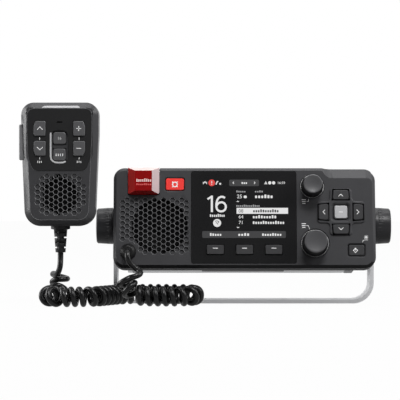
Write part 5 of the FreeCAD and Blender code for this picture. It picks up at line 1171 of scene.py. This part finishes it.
stands_for(joined("handset_front_piece", front_shell,
                  corners_filled.made("corners", HANDSET, shell_finish)),
           "handset_front")
added(honeycomb("handset_grille", hand_cells, HAND_HEX_DEPTH, 0.0, HANDSET), "handset")
skinned(shell_finish, "black_plastic", "handset_back")
talk = Form().loft([(softened(TALK_SHAPE, corner, inset), y) for corner, inset, y in (
    (0.9, 0.5, 5.4), (1.2, 0.0, 6.3), (1.2, 0.0, 11.5), (0.9, 0.5, 12.4))])
shaped(talk, HANDSET, "ptt_key", "soft_rubber",
       moulded("talk_rubber", (128, 128, 130), 0.34, 0.0005, 0.000008))
skinned(steel_finish, "steel", "handset_screws", "hang_stud")

# A light grey facet on its top bevel is a painted highlight, and a thin light grey line round the
# edge of its face is a painted highlight too.
glint = Form().slab(softened([(-14.6, 0.2), (17.0, 0.2), (14.4, 2.6), (-12.0, 2.6)], 0.5), -0.12,
                    0.3)
added(glint.made("handset_top_facet", HANDSET @ BEVEL_TOP,
                 moulded("handset_glint", (166, 166, 168), 0.3, 0.0004, 0.000004)),
      "handset")
rim = Form().stroke(softened(HAND_SHAPE, HAND_ROUNDS, 5.0, 6), 0.34, -0.03, 0, 0.2, closed=True)
added(rim.made("handset_edge_line", HANDSET,
               moulded("handset_edge", (112, 112, 114), 0.3, 0.0004, 0.000006)),
      "handset")


# Handset's key panel: a glossy black plate let into the front shell, with four side keys that
# have their outer corners cut, and two more in a long pocket. A bright satin strip along the
# pocket's left and bottom edge is a painted highlight where light falls on its walls.
HAND_KEY_TOP = -1.2
MID_KEY_TOP = 0.3
SIDE_KEY_HALF = (4.75, 5.95)
SIDE_KEYS = (
    ("handset_upper_left_key", -15.7, 28.3, 0.3, [[(-2.3, -1.1), (0, 1.2), (2.3, -1.1)]]),
    ("handset_lower_left_key", -15.7, 12.5, 0.3, [[(-2.3, 1.1), (0, -1.2), (2.3, 1.1)]]),
    ("handset_upper_right_key", 15.7, 28.3, -0.3, [[(-2.0, 0), (2.0, 0)], [(0, -2.0), (0, 2.0)]]),
    ("handset_lower_right_key", 15.7, 12.5, -0.3, [[(-2.0, 0), (2.0, 0)]]))
panel_finish = moulded("panel_black", (27, 27, 28), 0.34, 0.0005, 0.000006)
hand_key_finish = moulded("handset_key_grey", (84, 84, 86), 0.44)
highlight_trim_finish = clouded("satin_trim", (226, 226, 228), (244, 244, 246), 0.3, 0.1, 0.004, 2.0,
                      Metallic=0.6)


def side_key(x, w, upper):
    """The outline of a side key, whose outer corner away from the middle is cut off."""
    outer = 1 if x > 0 else -1
    near, far = x - outer * SIDE_KEY_HALF[0], x + outer * SIDE_KEY_HALF[0]
    low, high = w - SIDE_KEY_HALF[1], w + SIDE_KEY_HALF[1]
    (low_in, low_up), (high_in, high_down) = ((0.7, 1.4), (1.5, 4.2))[::1 if upper else -1]
    corners = [(near, low), (far - outer * low_in, low), (far, low + low_up),
               (far, high - high_down), (far - outer * high_in, high), (near, high)]
    return corners if outer > 0 else corners[::-1]


def hand_key(corners, top, corner):
    """A handset key: a straight skirt and a rounded shoulder."""
    return Form().loft([(softened(corners, corner - tighter, inset), y)
                        for tighter, inset, y in ((0.5, 0.75, top), (0.4, 0.45, top + 0.08),
                                                  (0.2, 0.15, top + 0.35), (0, 0.0, top + 0.9),
                                                  (0, 0.0, 3.4))])


def finished_hand_key(form, node):
    shaped(form, HANDSET, node, "key_rubber", hand_key_finish, sign_finish)


key_outlines = [side_key(x, w, "upper" in node) for node, x, w, aside, sign in SIDE_KEYS]
openings = [softened(outline, 1.3, -0.3) for outline in key_outlines]
openings.append(softened(box_corners(0.0, 14.15, 14.4, 26.0), 5.4))
openings.append(softened(box_corners(0.0, 33.4, 4.6, 1.1), 0.4))
plate = Form().loft([(softened(PANEL_SHAPE, PANEL_ROUND, inset), y)
                     for inset, y in ((0.2, 0.05), (0.05, 0.2), (0.05, 1.4))])
plate = carved(plate.made("handset_panel_piece", HANDSET, panel_finish), panel_finish,
               *[Form().slab(outline, -1, 2).made("opening", HANDSET) for outline in openings])
stands_for(smoothed(plate), "handset_panel")

for outline, (node, x, w, aside, sign) in zip(key_outlines, SIDE_KEYS):
    cap = hand_key(outline, HAND_KEY_TOP, 1.1)
    for line in sign:
        cap.stroke([(x + dx + aside, w + dw) for dx, dw in line], 0.6, HAND_KEY_TOP - 0.06, 1)
    finished_hand_key(cap, node)
cap = hand_key(box_corners(0.0, 20.7, 10.2, 9.7), MID_KEY_TOP, 1.9)
cap.text("16", 0.0, 20.7, 2.3, MID_KEY_TOP - 0.06, 1)
finished_hand_key(cap, "handset_upper_middle_key")
cap = hand_key(box_corners(0.0, 7.6, 10.2, 9.7), MID_KEY_TOP, 1.9)
for x in (-2.6, -0.9, 0.9, 2.6):
    cap.stroke([(x, 6.4), (x, 8.4)], 0.75, MID_KEY_TOP - 0.06, 1)
finished_hand_key(cap, "handset_lower_middle_key")

# Painted highlight: a bright satin strip on the pocket's left and bottom edge only.
trim = Form().stroke([(-6.9, 25.0), (-6.95, 15.0), (-6.9, 6.0), (-6.4, 3.9), (-5.0, 2.3),
                      (-3.0, 1.45), (0.0, 1.3), (3.0, 1.45), (5.0, 2.3)], 1.3, -0.1, 0, 0.5)
added(trim.made("pocket_trim", HANDSET, highlight_trim_finish), "handset")
marks = Form()
for x in (-15.7, 15.7):
    for aside, low, high, width in ((0.0, 21.5, 19.3, 0.5), (0.0, 5.6, 3.8, 0.5),
                                    (-1.5, 1.0, 2.6, 0.6), (-0.1, 1.0, 2.6, 0.6),
                                    (1.3, 1.0, 2.6, 0.6)):
        marks.stroke([(x + aside, low), (x + aside, high)], width, -0.04)
added(marks.made("handset_signs", HANDSET, sign_finish), "handset")
